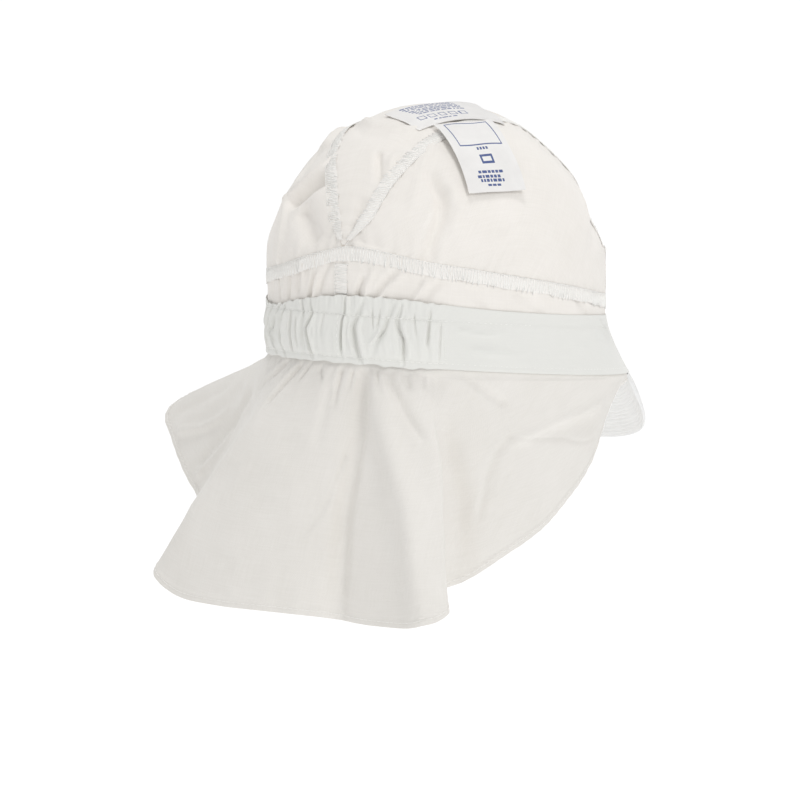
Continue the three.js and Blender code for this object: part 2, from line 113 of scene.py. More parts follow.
def vectors(x, y, z):
    return np.stack(np.broadcast_arrays(x, y, z), -1)


def over_direction(over, aside):
    a, b = np.radians(over), np.radians(aside)
    return vectors(-np.sin(b), np.cos(b) * np.cos(a), np.cos(b) * np.sin(a))


def angles_of(direction):
    d = unit(direction)
    over = np.degrees(np.arctan2(d[..., 2], d[..., 1]))
    return np.where(over < -90, over + 360, over), np.degrees(np.arcsin(-d[..., 0]))


def shell_point(direction, out):
    """The point of the crown's shell in a direction, moved outwards by `out`."""
    over = np.degrees(np.arctan2(direction[..., 2], direction[..., 1]))
    d = unit(direction)
    aside = np.degrees(np.arcsin(-d[..., 0]))
    moved = out
    for dent_over, dent_aside, depth, reach in DENTS:
        apart = np.hypot(over - dent_over, aside - dent_aside)
        moved = moved - depth * DOME_RISE * bell(apart / reach)
    level = np.hypot(direction[..., 0], direction[..., 1])
    wall = direction[..., 2] <= 0
    flat = np.where(wall, 1 / level, 1 / np.linalg.norm(direction, axis=-1))
    x = (HALF_WIDTH + moved) * direction[..., 0] * flat
    y = (HALF_LENGTH + moved) * direction[..., 1] * flat
    dome = WALL_TOP + (DOME_RISE + moved) * d[..., 2]
    upright = WALL_TOP + DOME_RISE * direction[..., 2] / level
    return np.stack([x, y, np.where(wall, upright, dome)], -1)


def rim_z(turn):
    return RIM_FALL * HALF_LENGTH * np.cos(np.radians(turn))


def wall_direction(turn, height):
    """The direction of the wall at a turn and a height above the rim."""
    rise = (rim_z(turn) + height - WALL_TOP) / DOME_RISE
    level = np.where(rise > 0, np.sqrt(np.maximum(1 - np.maximum(rise, 0) ** 2, 0)), 1)
    angle = np.radians(turn)
    return vectors(-np.sin(angle) * level, np.cos(angle) * level, rise)


def outwards(turn):
    angle = np.radians(turn)
    return vectors(-np.sin(angle), np.cos(angle), 0.0)


def wall_point(turn, height, out):
    """The point of the wall at a turn, a height above the rim and a distance outwards."""
    turn, height, out = np.broadcast_arrays(*np.atleast_1d(turn, height, out))
    apart = np.cos(np.radians(turn)) - np.cos(np.radians(RIM_FLARE["turn"]))
    flare = RIM_FLARE["most"] * bell(apart / RIM_FLARE["reach"])
    flare = flare * np.clip(1 - height / BAND_FRONT_HEIGHT, 0, 1) ** RIM_FLARE["power"]
    return shell_point(wall_direction(turn, height), out) + outwards(turn) * flare[..., None]


def round_seam(turn):
    wrapped = np.where(np.asarray(turn) > 180, np.asarray(turn) - 360, turn)
    return mix(ROUND_SEAM_LOW, ROUND_SEAM_HIGH, read_table(ROUND_SEAM, wrapped))


def seam_direction(along, side, shift, lift=0.0):
    """The direction of a side seam, moved sideways from the seam by `shift` millimetres."""
    tip = angles_of(wall_direction(0.0, round_seam(0.0) + lift))
    foot = angles_of(wall_direction(PANEL_FOOT_TURN, round_seam(PANEL_FOOT_TURN) + lift))
    spread = read_table(SIDE_SEAM, along, 1) * foot[1]
    lean = read_table(SIDE_SEAM, along, 2)
    aside = side * (spread + np.degrees(shift / HALF_WIDTH)) - lean
    return over_direction(mix(tip[0], foot[0], along), aside)


def crumple(points, size, seed):
    """Smooth uneven values from about -1 to 1, the same each run."""
    flat = points.reshape(-1, 3) / size + 7.3 * seed
    return np.array([noise.noise(Vector(p)) for p in flat]).reshape(points.shape[:-1])


def crushed(points, seed):
    """Faint soft creases that thin cotton keeps, in millimetres outwards."""
    broad = 0.8 * crumple(points, 26, seed) + 0.3 * crumple(points, 11, seed + 1)
    ridges = 0.5 - np.abs(crumple(points, 17, seed + 2)) * 2
    where = np.clip(crumple(points, 31, seed + 3) + 0.25, 0, 1)
    return broad + 0.9 * ridges * where


def creases(points, surface, lines):
    """Millimetres that drawn creases stand proud, or sink where their heights are below 0.
    A line: the places on the surface that it passes, its width, and its height at either end."""
    total = np.zeros(points.shape[:-1])
    t = np.linspace(0, 1, 81)
    for places, width, first, last in lines:
        knots, table = np.linspace(0, 1, len(places)), np.array(places, float)
        path = surface(np.interp(t, knots, table[:, 0]), np.interp(t, knots, table[:, 1]))
        centre = path.mean(0)
        reach = np.linalg.norm(path - centre, axis=-1).max() + 6 * width
        near = np.linalg.norm(points - centre, axis=-1) < reach
        gaps = np.linalg.norm(points[near][:, None, :] - path, axis=-1)
        way = t[gaps.argmin(-1)]
        height = mix(first, last, way) * ease(way / 0.18 + 0.1) * ease((1 - way) / 0.18 + 0.1)
        gap = gaps.min(-1) / width
        total[near] += height * (1.25 * bell(gap) - 0.25 * bell(gap / 2.6))
    return total


def pucker(apart, run):
    """The small waves that a seam draws into the cloth beside it."""
    uneven = 2.2 * np.sin(run / 15.0) + 1.3 * np.sin(run / 5.7)
    wave = np.sin(2 * math.pi * run / PUCKER_LENGTH + uneven)
    return PUCKER_DEPTH * wave * np.exp(-apart / 6) * (1 - 0.8 * np.exp(-apart / 2))


def run_along(points):
    """Length from the first row to each row, column by column."""
    steps = np.linalg.norm(np.diff(points, axis=0), axis=-1)
    return np.concatenate([np.zeros((1, points.shape[1])), np.cumsum(steps, axis=0)])


def add_object(name, data):
    made = bpy.data.objects.new(name, data)
    bpy.context.collection.objects.link(made)
    return made


def smooth_mesh(name, points, faces):
    mesh = bpy.data.meshes.new(name)
    mesh.from_pydata(points, [], faces)
    mesh.polygons.foreach_set("use_smooth", np.ones(len(faces), bool))
    return mesh


def run_across(points):
    """Length from the first column to each column, row by row."""
    return run_along(points.transpose(1, 0, 2)).T


def cloth_wall(name, outer, inner, ring=False):
    """A closed wall of cloth between two grids of points, with thread directions as its UV map."""
    rows, across = outer.shape[:2]
    index = np.arange(rows * across).reshape(rows, across)
    sheet = np.concatenate([outer, outer[:1]]) if ring else outer
    spot = np.arange(sheet.shape[0] * across).reshape(-1, across)
    u = run_along(sheet)
    v = run_across(sheet)
    threads = np.stack([u - u[len(u) // 2], v - v[:, [across // 2]]], -1).reshape(-1, 2) * MM

    def faces(front, back):
        corners = [
            (front[:-1, :-1], front[1:, :-1], front[1:, 1:], front[:-1, 1:]),
            (back[:-1, :-1], back[:-1, 1:], back[1:, 1:], back[1:, :-1]),
            (front[1:, 0], front[:-1, 0], back[:-1, 0], back[1:, 0]),
            (front[:-1, -1], front[1:, -1], back[1:, -1], back[:-1, -1]),
        ]
        if not ring:
            corners.append((front[0, :-1], front[0, 1:], back[0, 1:], back[0, :-1]))
            corners.append((front[-1, 1:], front[-1, :-1], back[-1, :-1], back[-1, 1:]))
        return np.concatenate([np.stack(c, -1).reshape(-1, 4) for c in corners])

    wrapped = np.concatenate([index, index[:1]]) if ring else index
    quads = faces(wrapped, wrapped + rows * across)
    spots = faces(spot, spot)
    points = np.concatenate([outer.reshape(-1, 3), inner.reshape(-1, 3)]) * MM
    a, b, c, d = (points[quads[:, k]] for k in range(4))
    volume = np.sum(a * np.cross(b, c)) + np.sum(a * np.cross(c, d))
    if volume < 0:
        quads, spots = quads[:, ::-1], spots[:, ::-1]
    mesh = smooth_mesh(name, points.tolist(), quads.tolist())
    layer = mesh.uv_layers.new(name="threads")
    layer.data.foreach_set("uv", threads[spots.reshape(-1)].reshape(-1))
    mesh.update()
    mesh.set_sharp_from_angle(angle=math.radians(62))
    return add_object(name, mesh)


def fill(tree, socket, value):
    """Sets a socket to a value, or links another socket to it."""
    if isinstance(value, bpy.types.NodeSocket):
        tree.links.new(value, socket)
    else:
        socket.default_value = value


def add_node(material, kind, **values):
    """Adds a shader node; each value goes to the node's own setting or to the socket of that name."""
    node = material.node_tree.nodes.new("ShaderNode" + kind)
    for key, value in values.items():
        if hasattr(node, key):
            setattr(node, key, value)
        elif key[1:].isdigit():
            fill(material.node_tree, node.inputs[int(key[1:])], value)
        else:
            fill(material.node_tree, node.inputs[key], value)
    return node


def new_finish(name):
    """An empty finish, and what adds nodes to it."""
    material = bpy.data.materials.new(name)
    material.use_nodes = True
    return material, partial(add_node, material)


def sum_of(node, *parts):
    """Adds up (output, weight) pairs."""
    total = 0.0
    for output, weight in parts:
        total = node("Math", operation="MULTIPLY_ADD", s0=output, s1=weight, s2=total).outputs[0]
    return total


def wave_along(node, place, length):
    """A wave of that length in metres along one coordinate."""
    turns = node("Math", operation="MULTIPLY", s0=place, s1=2 * math.pi / length)
    return node("Math", operation="SINE", s0=turns.outputs[0]).outputs[0]


def set_shader(material, values):
    for socket, value in values.items():
        fill(material.node_tree, material.node_tree.nodes["Principled BSDF"].inputs[socket], value)


def complete(material, factor, tones, stops, rough, bump, fixed):
    """Gives a finish its two tones, its roughness, its relief and its fixed values."""
    ramp = add_node(material, "ValToRGB", Fac=factor)
    for stop, place, tone in zip(ramp.color_ramp.elements, stops, tones):
        stop.position = place
        stop.color = (*tone, 1)
    values = {"Base Color": ramp.outputs["Color"], "Roughness": rough.outputs["Result"]}
    set_shader(material, values | {"Normal": bump.outputs["Normal"]} | fixed)
    return material


def woven(name, colour, thread=0.42, weave=0.00012, slub=0.5, mottle=0.035, sheen=0.25, warm=0.0):
    """Plain-weave cloth: threads over and under one another, thicker and thinner along their
    length, and a faint unevenness of colour."""
    material, node = new_finish(name)
    where = node("TexCoord").outputs["Object"]
    noise_at = partial(node, "TexNoise", Vector=where)
    wander = noise_at(Scale=240.0, Detail=2.0).outputs["Color"]
    uv = node("UVMap", uv_map="threads").outputs["UV"]
    uv = node("VectorMath", operation="MULTIPLY_ADD", s0=wander, s1=(0.0016, 0.0016, 0.0), s2=uv)
    uv = uv.outputs["Vector"]
    split = node("SeparateXYZ", Vector=uv)
    warp, weft = (wave_along(node, split.outputs[axis], 2 * (thread * MM)) for axis in ("X", "Y"))
    over_under = node("Math", operation="MULTIPLY", s0=warp, s1=weft).outputs[0]
    slubs = []
    for stretch in ((60, 1500, 1), (1500, 60, 1)):
        place = node("Mapping", vector_type="POINT", Vector=uv, Scale=stretch).outputs[0]
        slubs.append(node("TexNoise", Vector=place, Scale=1.0, Detail=3.0).outputs["Fac"])
    broad = noise_at(Scale=34.0, Detail=4.0, Roughness=0.6).outputs["Fac"]
    fine = noise_at(Scale=900.0, Detail=2.0).outputs["Fac"]
    worn = noise_at(Scale=85.0, Detail=3.0, Distortion=0.4).outputs["Fac"]
    height = sum_of(node, (over_under, 0.3), (slubs[0], slub), (slubs[1], slub), (fine, 0.35))
    worn = node("Bump", Strength=0.5, Distance=0.0004, Height=worn)
    bump = node("Bump", Strength=0.55, Distance=weave, Height=height, Normal=worn.outputs["Normal"])
    shade = sum_of(node, (slubs[0], 0.3), (slubs[1], 0.3), (broad, 0.4), (over_under, 0.06))
    low = [c * (1 - mottle * 1.6) for c in colour]
    low = (low[0], low[1] * (1 - warm / 4), low[2] * (1 - warm))
    high = [min(c * (1 + mottle), 1) for c in colour]
    rough = node("MapRange", s0=broad, s1=0.3, s2=0.7, s3=0.8, s4=0.94)
    fixed = {"Specular IOR Level": 0.25, "Sheen Weight": sheen, "Sheen Roughness": 0.5}
    return complete(material, shade, (low, high), (0.3, 0.7), rough, bump, fixed)


def finish_piece(piece, material, slot, *nodes):
    """Gives a piece its finish and fixes it to the cap in place of the frame's nodes."""
    if not piece.data.materials:
        piece.data.materials.append(material)
    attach(piece, "root")
    if nodes:
        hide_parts(*nodes)


# Creases of the crown, from one place to another in degrees over the top and aside
CROWN_CREASES = [
    ([(68, -34), (52, -38), (38, -38)], 2, 1.2, 1.8),
    ([(30, -38), (34, -32), (38, -26), (43, -21), (50, -16)], 2, 2.8, 1.8),
    ([(27, -34), (31, -27), (35, -21), (39, -13)], 4.2, -5, -4.4),
    ([(36, -39), (22, -34), (11, -33), (-4, -35)], 2.8, 2.2, 1.4),
    ([(26, -25), (18, -18), (9, -12)], 5.5, -3.8, -3.2),
    ([(80, -26), (66, -10), (63, 2), (66, 10)], 2.2, 1.6, 1),
    ([(80, -34), (68, -32), (58, -30)], 4.6, 2.6, 2.8),
    ([(74, -26), (60, -12), (57, 2)], 3.2, -1.1, -0.8), ([(50, 1), (44, 4), (35, 8)], 1.8, -2.4, -1.6),
    ([(50, 7), (43, 9), (37, 12)], 1.8, 1.3, 0.8), ([(29, 4), (15, 4)], 2.8, -1.8, -1.2),
    ([(47, 20), (36, 30), (26, 32), (9, 30), (-8, 26)], 3, -2.6, -3.4),
    ([(43, 29), (32, 37), (16, 38)], 3.5, 1.8, 1.4), ([(62, 17), (44, 20), (26, 22)], 3, 1.2, 1),
    ([(101, 34), (106, 48)], 1.6, -1.6, -0.8), ([(94, 41), (114, 32)], 1.6, 1.3, 0.7),
    ([(12, 2), (10, 10), (9, 18)], 1.1, 2, 1.2), ([(60, 12), (48, 4)], 3.5, -0.9, -0.4),
    ([(20, 52), (36, 62)], 4, -1.3, -0.8), ([(60, 50), (78, 62)], 4, 1, 0.7),
]

crown_cloth = woven("crown cotton", CROWN_COLOUR, warm=0.02)


def over_crown(over, aside):
    return shell_point(over_direction(over, aside), np.zeros_like(over))


def crown_panel(name, node, directions, seed):
    """A crown panel from its grid of directions, puckered along the seam on either side."""
    flat = shell_point(directions, 0.0)
    run = run_along(flat)
    across = run_across(flat)
    relief = 0.55 * crushed(flat, seed) + creases(flat, over_crown, CROWN_CREASES)
    for gap in (across, across[:, -1:] - across):
        relief = relief * (1 - 0.7 * np.exp(-gap / 3)) + pucker(gap, run)
    outer, inner = (shell_point(directions, relief - depth) for depth in (0, CROWN_THICKNESS))
    finish_piece(cloth_wall(name, outer, inner), crown_cloth, "crown_cloth", node)


SEAM_WAY = np.linspace(0.006, 0.985, 150)
top_way = np.append(SEAM_WAY, [0.9925, 1.0])[:, None]
top_share = np.linspace(1, -1, 93)[None, :]
tip_over = angles_of(wall_direction(0.0, round_seam(0.0) + SEAM_GAP))[0]
foot_over, foot_aside = angles_of(wall_direction(PANEL_FOOT_TURN, round_seam(PANEL_FOOT_TURN) + SEAM_GAP))


def top_direction(way, share):
    half = read_table(SIDE_SEAM, way, 1) * foot_aside - np.degrees(SEAM_GAP / HALF_WIDTH)
    return over_direction(mix(tip_over, foot_over, way), half * share - read_table(SIDE_SEAM, way, 2))


foot_turn = 180 - (180 - PANEL_FOOT_TURN) * top_share
foot_line = unit(wall_direction(foot_turn, round_seam(foot_turn) + SEAM_GAP))
foot_error = foot_line - unit(top_direction(np.ones((1, 1)), top_share))
top_grid = top_direction(top_way, top_share)
top_grid = top_grid + foot_error * ease((top_way - 0.55) / 0.45)[..., None]
crown_panel("crown_top_cloth", "crown_top_panel", top_grid, 3)

# Crown, side panels. The same cotton, cut as two curved pieces that fill the space between the
# top panel and the round seam, right and left.

for side, word, seed in ((1, "right", 11), (-1, "left", 19)):
    seam = unit(seam_direction(SEAM_WAY, side, SEAM_GAP, SEAM_GAP))[:, None, :]
    turns = side * PANEL_FOOT_TURN * SEAM_WAY
    lower = unit(wall_direction(turns, round_seam(turns) + SEAM_GAP))[:, None, :]
    grid = mix(seam, lower, np.linspace(0, 1, 57)[None, :, None])
    crown_panel(f"crown_side_cloth_{word}", f"crown_side_panel_{word}", grid, seed)

# Base strip. A straight strip of the same cotton that joins the crown to the rim. The headband
# covers its lower half, and it creases where the elastic below draws it in.

ELASTIC_FROM = -47.0
ELASTIC_TO = 36.0
TUCK = 5.0

# Creases of the strip, from one place to another in degrees of turn and millimetres up
STRIP_CREASES = [
    ([(-11.5, 41), (-13, 35), (-14.5, 26)], 1.1, -1.2, -2),
    ([(-9.5, 41), (-11.5, 33), (-12, 26)], 1, 0.9, 1.1),
    ([(-3.5, 47), (-7.5, 39), (-10, 29)], 1.3, -1, -1.3),
    ([(8.5, 40), (6.5, 33), (6, 26)], 1.1, -1.5, -2.1), ([(12.5, 44), (10, 36), (9, 26)], 1.2, 1, 1.1),
    ([(23, 43), (18, 37), (13.5, 29)], 1.1, 1.4, 1.1),
    ([(20, 43), (15.5, 37), (11.5, 29)], 1.5, -1.3, -1.2),
    ([(31, 41), (28, 35), (25, 28)], 1.1, 1.3, 1), ([(35, 40), (31.5, 35), (29, 28)], 1.6, -1, -0.8),
    ([(-17, 45), (-17.5, 33)], 1.1, 1.1, 0.8), ([(-20, 43), (-20, 29)], 1.2, -0.8, -1.2),
    ([(-25, 39), (-26, 25)], 1.2, -1.1, -1.6), ([(-29, 38), (-29, 25)], 1.2, 0.8, 1),
    ([(-34, 38), (-32, 24)], 1.2, -1, -1.4), ([(-40, 37), (-42, 24)], 1.3, 1, 1),
    ([(44, 39), (51, 28)], 2, -0.8, -0.6), ([(60, 38), (73, 27)], 2.2, -0.8, -0.6),
    ([(85, 39), (97, 27)], 2.2, -0.8, -0.6),
]


def turns_round(back_steps, front_steps):
    """Turns round the whole head, closer together where the elastic gathers the cloth."""
    back = np.linspace(ELASTIC_FROM - 4, ELASTIC_TO + 4, back_steps)
    front = np.linspace(ELASTIC_TO + 4, 360 + ELASTIC_FROM - 4, front_steps)
    return np.concatenate([back, front[1:-1]])


def on_wall(turn, height):
    return wall_point(turn, height, 0.0)


strip_turns = turns_round(150, 190)[:, None]
strip_top = round_seam(strip_turns) - SEAM_GAP
strip_low = np.minimum(BAND_FRONT_HEIGHT - 3, strip_top)
strip_show_rows = mix(strip_top, strip_low, np.linspace(0, 1, 17))
strip_tucked = strip_top * 0 + (TUCK + 6, TUCK)
strip_heights = np.concatenate([strip_show_rows, strip_tucked], 1)
strip_flat = on_wall(strip_turns, strip_heights)
strip_show = np.clip((strip_heights - BAND_FRONT_HEIGHT + 4) / 4, 0, 1)
strip_relief = 0.45 * crushed(strip_flat, 27) + creases(strip_flat, on_wall, STRIP_CREASES)
strip_relief = strip_relief + pucker(strip_top - strip_heights, run_along(strip_flat))
strip_relief = np.minimum(strip_relief * strip_show, 1.0)
strip_faces = (wall_point(strip_turns, strip_heights, strip_relief - off) for off in (0, CROWN_THICKNESS))
base_strip = cloth_wall("crown_base_cloth", *strip_faces, ring=True)
finish_piece(base_strip, crown_cloth, "crown_cloth", "crown_base_strip")

# Seam allowances. Both raw edges of each crown seam are trimmed together and wrapped by an
# overlocker: loops of white thread go over and round the edge, and a line of stitches holds
# them at the seam. They lie flat on the outside, and their free edge lifts a little.

ALLOWANCE_WIDTH = 6.2
ALLOWANCE_THICKNESS = 0.3
ALLOWANCE_LIFT = 0.2
OVERLOCK_PITCH = 1.45
THREAD = 0.17
THREAD_COLOUR = (0.99, 0.972, 0.945)
# The overlocked edges are the crown's own cotton, but this colour is set lighter than the crown's:
# painted light that cancels the shade falling between the overlock loops.
EDGE_COLOUR_PAINTED_LIGHTER = (0.925, 0.9, 0.865)


def spun_thread(name, colour):
    """Soft twisted cotton thread."""
    material, node = new_finish(name)
    where = node("TexCoord").outputs["Object"]
    twist = node("TexWave", Vector=where, Scale=620.0, Distortion=4.0, Detail=1.0).outputs["Fac"]
    fuzz = node("TexNoise", Vector=where, Scale=2600.0, Detail=2.0).outputs["Fac"]
    height = sum_of(node, (twist, 0.6), (fuzz, 0.6))
    bump = node("Bump", Strength=0.4, Distance=0.00006, Height=height)
    rough = node("MapRange", s0=fuzz, s3=0.6, s4=0.85)
    tones = ([c * 0.95 for c in colour], [min(c * 1.03, 1) for c in colour])
    return complete(material, height, tones, (0, 1), rough, bump, {"Sheen Weight": 0.3})


white_thread = spun_thread("white sewing thread", THREAD_COLOUR)


def thread_unit(name, paths, radius, sides=4):
    """One stitch as short tubes along paths, in millimetres: x along the seam, y across, z out."""
    points, faces = [], []
    angles = 2 * math.pi * (np.arange(sides) + 0.5) / sides
    for path in paths:
        path = np.array(path, float)
        base = len(points)
        for k, (spot, ahead) in enumerate(zip(path, unit(np.gradient(path, axis=0)))):
            aside = np.cross(ahead, (0, 0, 1))
            if np.linalg.norm(aside) < 0.2:
                aside = np.cross(ahead, (0, 1, 0))
            aside = unit(aside)
            up = np.cross(aside, ahead)
            thick = radius * (0.45 if k in (0, len(path) - 1) else 1)
            rings = [(aside * math.cos(a) + up * math.sin(a)) * thick for a in angles]
            points += [tuple((spot + ring) * MM) for ring in rings]
        last = len(points) - sides
        for start in range(base, last, sides):
            for corner in range(sides):
                a, b = start + corner, start + (corner + 1) % sides
                faces.append((a, b, b + sides, a + sides))
        faces.append(tuple(reversed(range(base, base + sides))))
        faces.append(tuple(range(last, last + sides)))
    mesh = smooth_mesh(name, points, faces)
    mesh.update()
    return add_object(name, mesh)


def stitch_tree():
    """Puts one stitch after another along lines, each turned to the cloth under it."""
    tree = bpy.data.node_groups.new("stitches along a line", "GeometryNodeTree")
    wanted = {"Line": "Geometry", "Stitch": "Object", "Pitch": "Float"}
    wanted |= {"Uneven": "Float", "Seed": "Int", "Thread": "Material"}
    for name, kind in wanted.items():
        tree.interface.new_socket(name, in_out="INPUT", socket_type="NodeSocket" + kind)
    tree.interface.new_socket("Stitches", in_out="OUTPUT", socket_type="NodeSocketGeometry")

    def put(kind, settings=(), **links):
        node = tree.nodes.new(kind)
        for key, value in dict(settings).items():
            setattr(node, key, value)
        for key, value in links.items():
            usable = [s for s in node.inputs if s.enabled]
            named = [s for s in usable if s.name == key]
            fill(tree, named[0] if named else usable[int(key[1:])], value)
        return node

    def result(node):
        return next(s for s in node.outputs if s.enabled)

    def maths(operation, first, second):
        return result(put("ShaderNodeMath", {"operation": operation}, s0=first, s1=second))

    given = tree.nodes.new("NodeGroupInput").outputs
    curve = put("GeometryNodeMeshToCurve", Mesh=given["Line"])
    spaced = put("GeometryNodeResampleCurve", {"mode": "LENGTH"}, Curve=result(curve))
    tree.links.new(given["Pitch"], spaced.inputs["Length"])
    facts = []
    for name, kind in (("out", "FLOAT_VECTOR"), ("free", "FLOAT_VECTOR"), ("size", "FLOAT")):
        facts.append(result(put("GeometryNodeInputNamedAttribute", {"data_type": kind}, Name=name)))
    axes = {"primary_axis": "Z", "secondary_axis": "Y"}
    facing = result(put("FunctionNodeAxesToRotation", axes, s0=facts[0], s1=facts[1]))
    least, most = (maths(kind, 1.0, given["Uneven"]) for kind in ("SUBTRACT", "ADD"))
    float_kind = {"data_type": "FLOAT"}
    chance = put("FunctionNodeRandomValue", float_kind, Min=least, Max=most, Seed=given["Seed"])
    size = maths("MULTIPLY", facts[2], result(chance))
    shape = put("GeometryNodeObjectInfo", Object=given["Stitch"]).outputs["Geometry"]
    places = {"Points": result(spaced), "Instance": shape, "Rotation": facing}
    placed = put("GeometryNodeInstanceOnPoints", **places)
    tree.links.new(size, placed.inputs["Scale"])
    real = put("GeometryNodeRealizeInstances", Geometry=result(placed))
    coloured = put("GeometryNodeSetMaterial", Geometry=result(real), Material=given["Thread"])
    tree.links.new(coloured.outputs[0], tree.nodes.new("NodeGroupOutput").inputs[0])
    return tree


stitching = stitch_tree()


def sew(name, lines, stitch, pitch, seed, uneven=0.08, slot="overlock_edge"):
    """Sews one row of stitches or more. A line: points, which way is out, which way is across,
    the stitches' size, and whether it closes on itself."""
    mesh = bpy.data.meshes.new(name + "_line")
    points, edges, facts = [], [], {"out": [], "free": [], "size": []}
    for spots, out, free, size, closed in lines:
        base, count = len(points), len(spots)
        points += [tuple(p) for p in spots * MM]
        edges += [(base + k, base + k + 1) for k in range(count - 1)]
        edges += [(base + count - 1, base)] if closed else []
        facts["out"].append(np.broadcast_to(out, spots.shape))
        facts["free"].append(np.broadcast_to(free, spots.shape))
        facts["size"].append(np.broadcast_to(size, count))
    mesh.from_pydata(points, edges, [])
    for key, values in facts.items():
        kind, field = ("FLOAT", "value") if key == "size" else ("FLOAT_VECTOR", "vector")
        fact = mesh.attributes.new(key, kind, "POINT")
        fact.data.foreach_set(field, np.concatenate(values).astype(np.float32).reshape(-1))
    line = add_object(name + "_line", mesh)
    modifier = line.modifiers.new("stitches", "NODES")
    modifier.node_group = stitching
    given = {"Stitch": stitch, "Pitch": pitch * MM, "Uneven": uneven, "Seed": seed}
    given["Thread"] = white_thread
    for item in stitching.interface.items_tree:
        if item.name in given:
            modifier[item.identifier] = given[item.name]
    bpy.context.view_layer.update()
    worked = line.evaluated_get(bpy.context.evaluated_depsgraph_get())
    sewn = bpy.data.meshes.new_from_object(worked)
    sewn.name = name
    for key in facts:
        if key in sewn.attributes:
            sewn.attributes.remove(sewn.attributes[key])
    piece = add_object(name, sewn)
    bpy.data.objects.remove(line)
    finish_piece(piece, white_thread, slot)
    return piece


half_pitch = OVERLOCK_PITCH / 2
over_edge = [(-0.05, 0, 0), (0.25 * half_pitch, 1.6, 0.09), (0.75 * half_pitch, 4.6, 0.09)]
over_edge += [(half_pitch, 5.6, -0.1), (1.15 * half_pitch, 4.8, -0.45)]
back_again = [(1.1 * half_pitch, 5.4, 0), (1.5 * half_pitch, 2.6, 0.1), (2 * half_pitch, 0.1, 0)]
at_seam = [(-0.3, 0, 0), (half_pitch, 0.05, 0.12), (OVERLOCK_PITCH + 0.15, 0, 0)]
overlock_stitch = thread_unit("overlock stitch", [over_edge, back_again, at_seam], THREAD)

# Painted light: the edge cloth is coloured lighter than the crown cotton to cancel the shade between the
# loops.
edge_cloth = woven("overlocked edge", EDGE_COLOUR_PAINTED_LIGHTER, weave=0.00015, slub=0.8)
overlock_lines = []


def allowance(word, root, free, seed, closed=False):
    """A flat strip of two cloths from its seam to its free edge, with overlock stitches over it.
    root, free: functions that give the strip's two edges at a distance off the cloth."""
    low = root(0.0)
    wander = crumple(low, 13, seed)
    lift = ALLOWANCE_LIFT * (0.35 + 1.1 * wander + 0.5 * crumple(low, 5, seed + 1))
    shares = np.array([0.0, 0.04, 0.25, 0.5, 0.75, 0.95, 1.0])
    thick = np.array([0.1, 0.7, 1, 1, 1, 0.7, 0.1]) * ALLOWANCE_THICKNESS / 2
    middle_low = root(0.05 + ALLOWANCE_THICKNESS / 2)
    middle_free, raised = (free(off + ALLOWANCE_THICKNESS / 2) for off in (0.04, 2.04))
    out = unit(raised - middle_free)
    far = middle_free + out * np.maximum(lift, 0.02)[:, None]
    rows = mix(middle_low[:, None, :], far[:, None, :], shares[None, :, None])
    belly = 0.1 * np.sin(math.pi * shares)[None, :, None] * (0.4 + wander[:, None, None])
    rows = rows + out[:, None, :] * belly
    across = unit(rows[:, -1] - rows[:, 0])
    ahead = np.gradient(middle_low, axis=0)
    face = unit(np.cross(ahead, across))
    face = face * np.sign(np.sum(face * out, -1, keepdims=True))
    thick = face[:, None, :] * thick[None, :, None]
    strip = cloth_wall(f"seam_edge_{word}", rows + thick, rows - thick, ring=closed)
    size = np.linalg.norm(rows[:, -1] - rows[:, 0], axis=-1) / 5.4
    top = rows[:, 0] + face * (ALLOWANCE_THICKNESS / 2 + 0.02)
    slant = 0.4 * crumple(low, 1.7, seed + 2)[:, None] * unit(ahead)
    overlock_lines.append((top, face, across + slant, np.clip(size, 0.25, 1.15), closed))
    finish_piece(strip, edge_cloth, "overlock_edge", f"seam_allowance_{word}")


side_way = np.linspace(0.016, 0.975, 240)
side_width = ALLOWANCE_WIDTH * mix(0.3, 1, ease(side_way / 0.07))
for side, word, seed in ((1, "right", 31), (-1, "left", 37)):
    wander = 0.25 * np.sin(side_way * 61 + seed) + 0.15 * np.sin(side_way * 143 + seed)
    root_way = seam_direction(side_way, side, side_width / 2)
    free_way = seam_direction(side_way, side, -side_width / 2 - wander)
    allowance(word, partial(shell_point, root_way), partial(shell_point, free_way), seed)

ring_turns = turns_round(150, 260)
ring_top = round_seam(ring_turns) + 0.45
ring_wander = 0.25 * np.sin(np.radians(ring_turns) * 14) + 0.2 * np.sin(np.radians(ring_turns) * 33)
ring_fold = 0.9 * bell((ring_turns + 18) / 1.6) + 0.5 * bell((ring_turns - 44) / 3)
ring_low = ring_top - ALLOWANCE_WIDTH - ring_wander
allowance(
    "round",
    partial(wall_point, ring_turns, ring_top),
    lambda out: wall_point(ring_turns, ring_low, out + ring_fold),
    43,
    closed=True,
)

back_half = math.degrees(ALLOWANCE_WIDTH / (2 * HALF_WIDTH))
back_heights = np.linspace(round_seam(0.0) - ALLOWANCE_WIDTH - 0.9, 31.6, 24)
back_edges = (partial(wall_point, half, back_heights) for half in (-back_half, back_half))
allowance("back", *back_edges, 47)
sew("overlock_threads", overlock_lines, overlock_stitch, OVERLOCK_PITCH, 5, uneven=0.1)

# Headband. A folded strip of smooth poplin round the rim. Across the back it is a channel for a
# flat elastic that draws it into upright pleats, with a small ruffle above the channel's upper
# row of stitches. Its lower edge is stitched down over the neck flap's and the peak's edges.

TUNNEL_TOP = 22.0
HEM_STITCH_HEIGHT = 2.6
GATHER_PUFF = 1.7
RUFFLE_LEAN = 0.35
ELASTIC_LIFT = 1.0
BAND_GAP = 0.15
BAND_OUTER = 0.55
BAND_CLOTH = 0.46
BAND_COLOUR = (0.812, 0.812, 0.778)

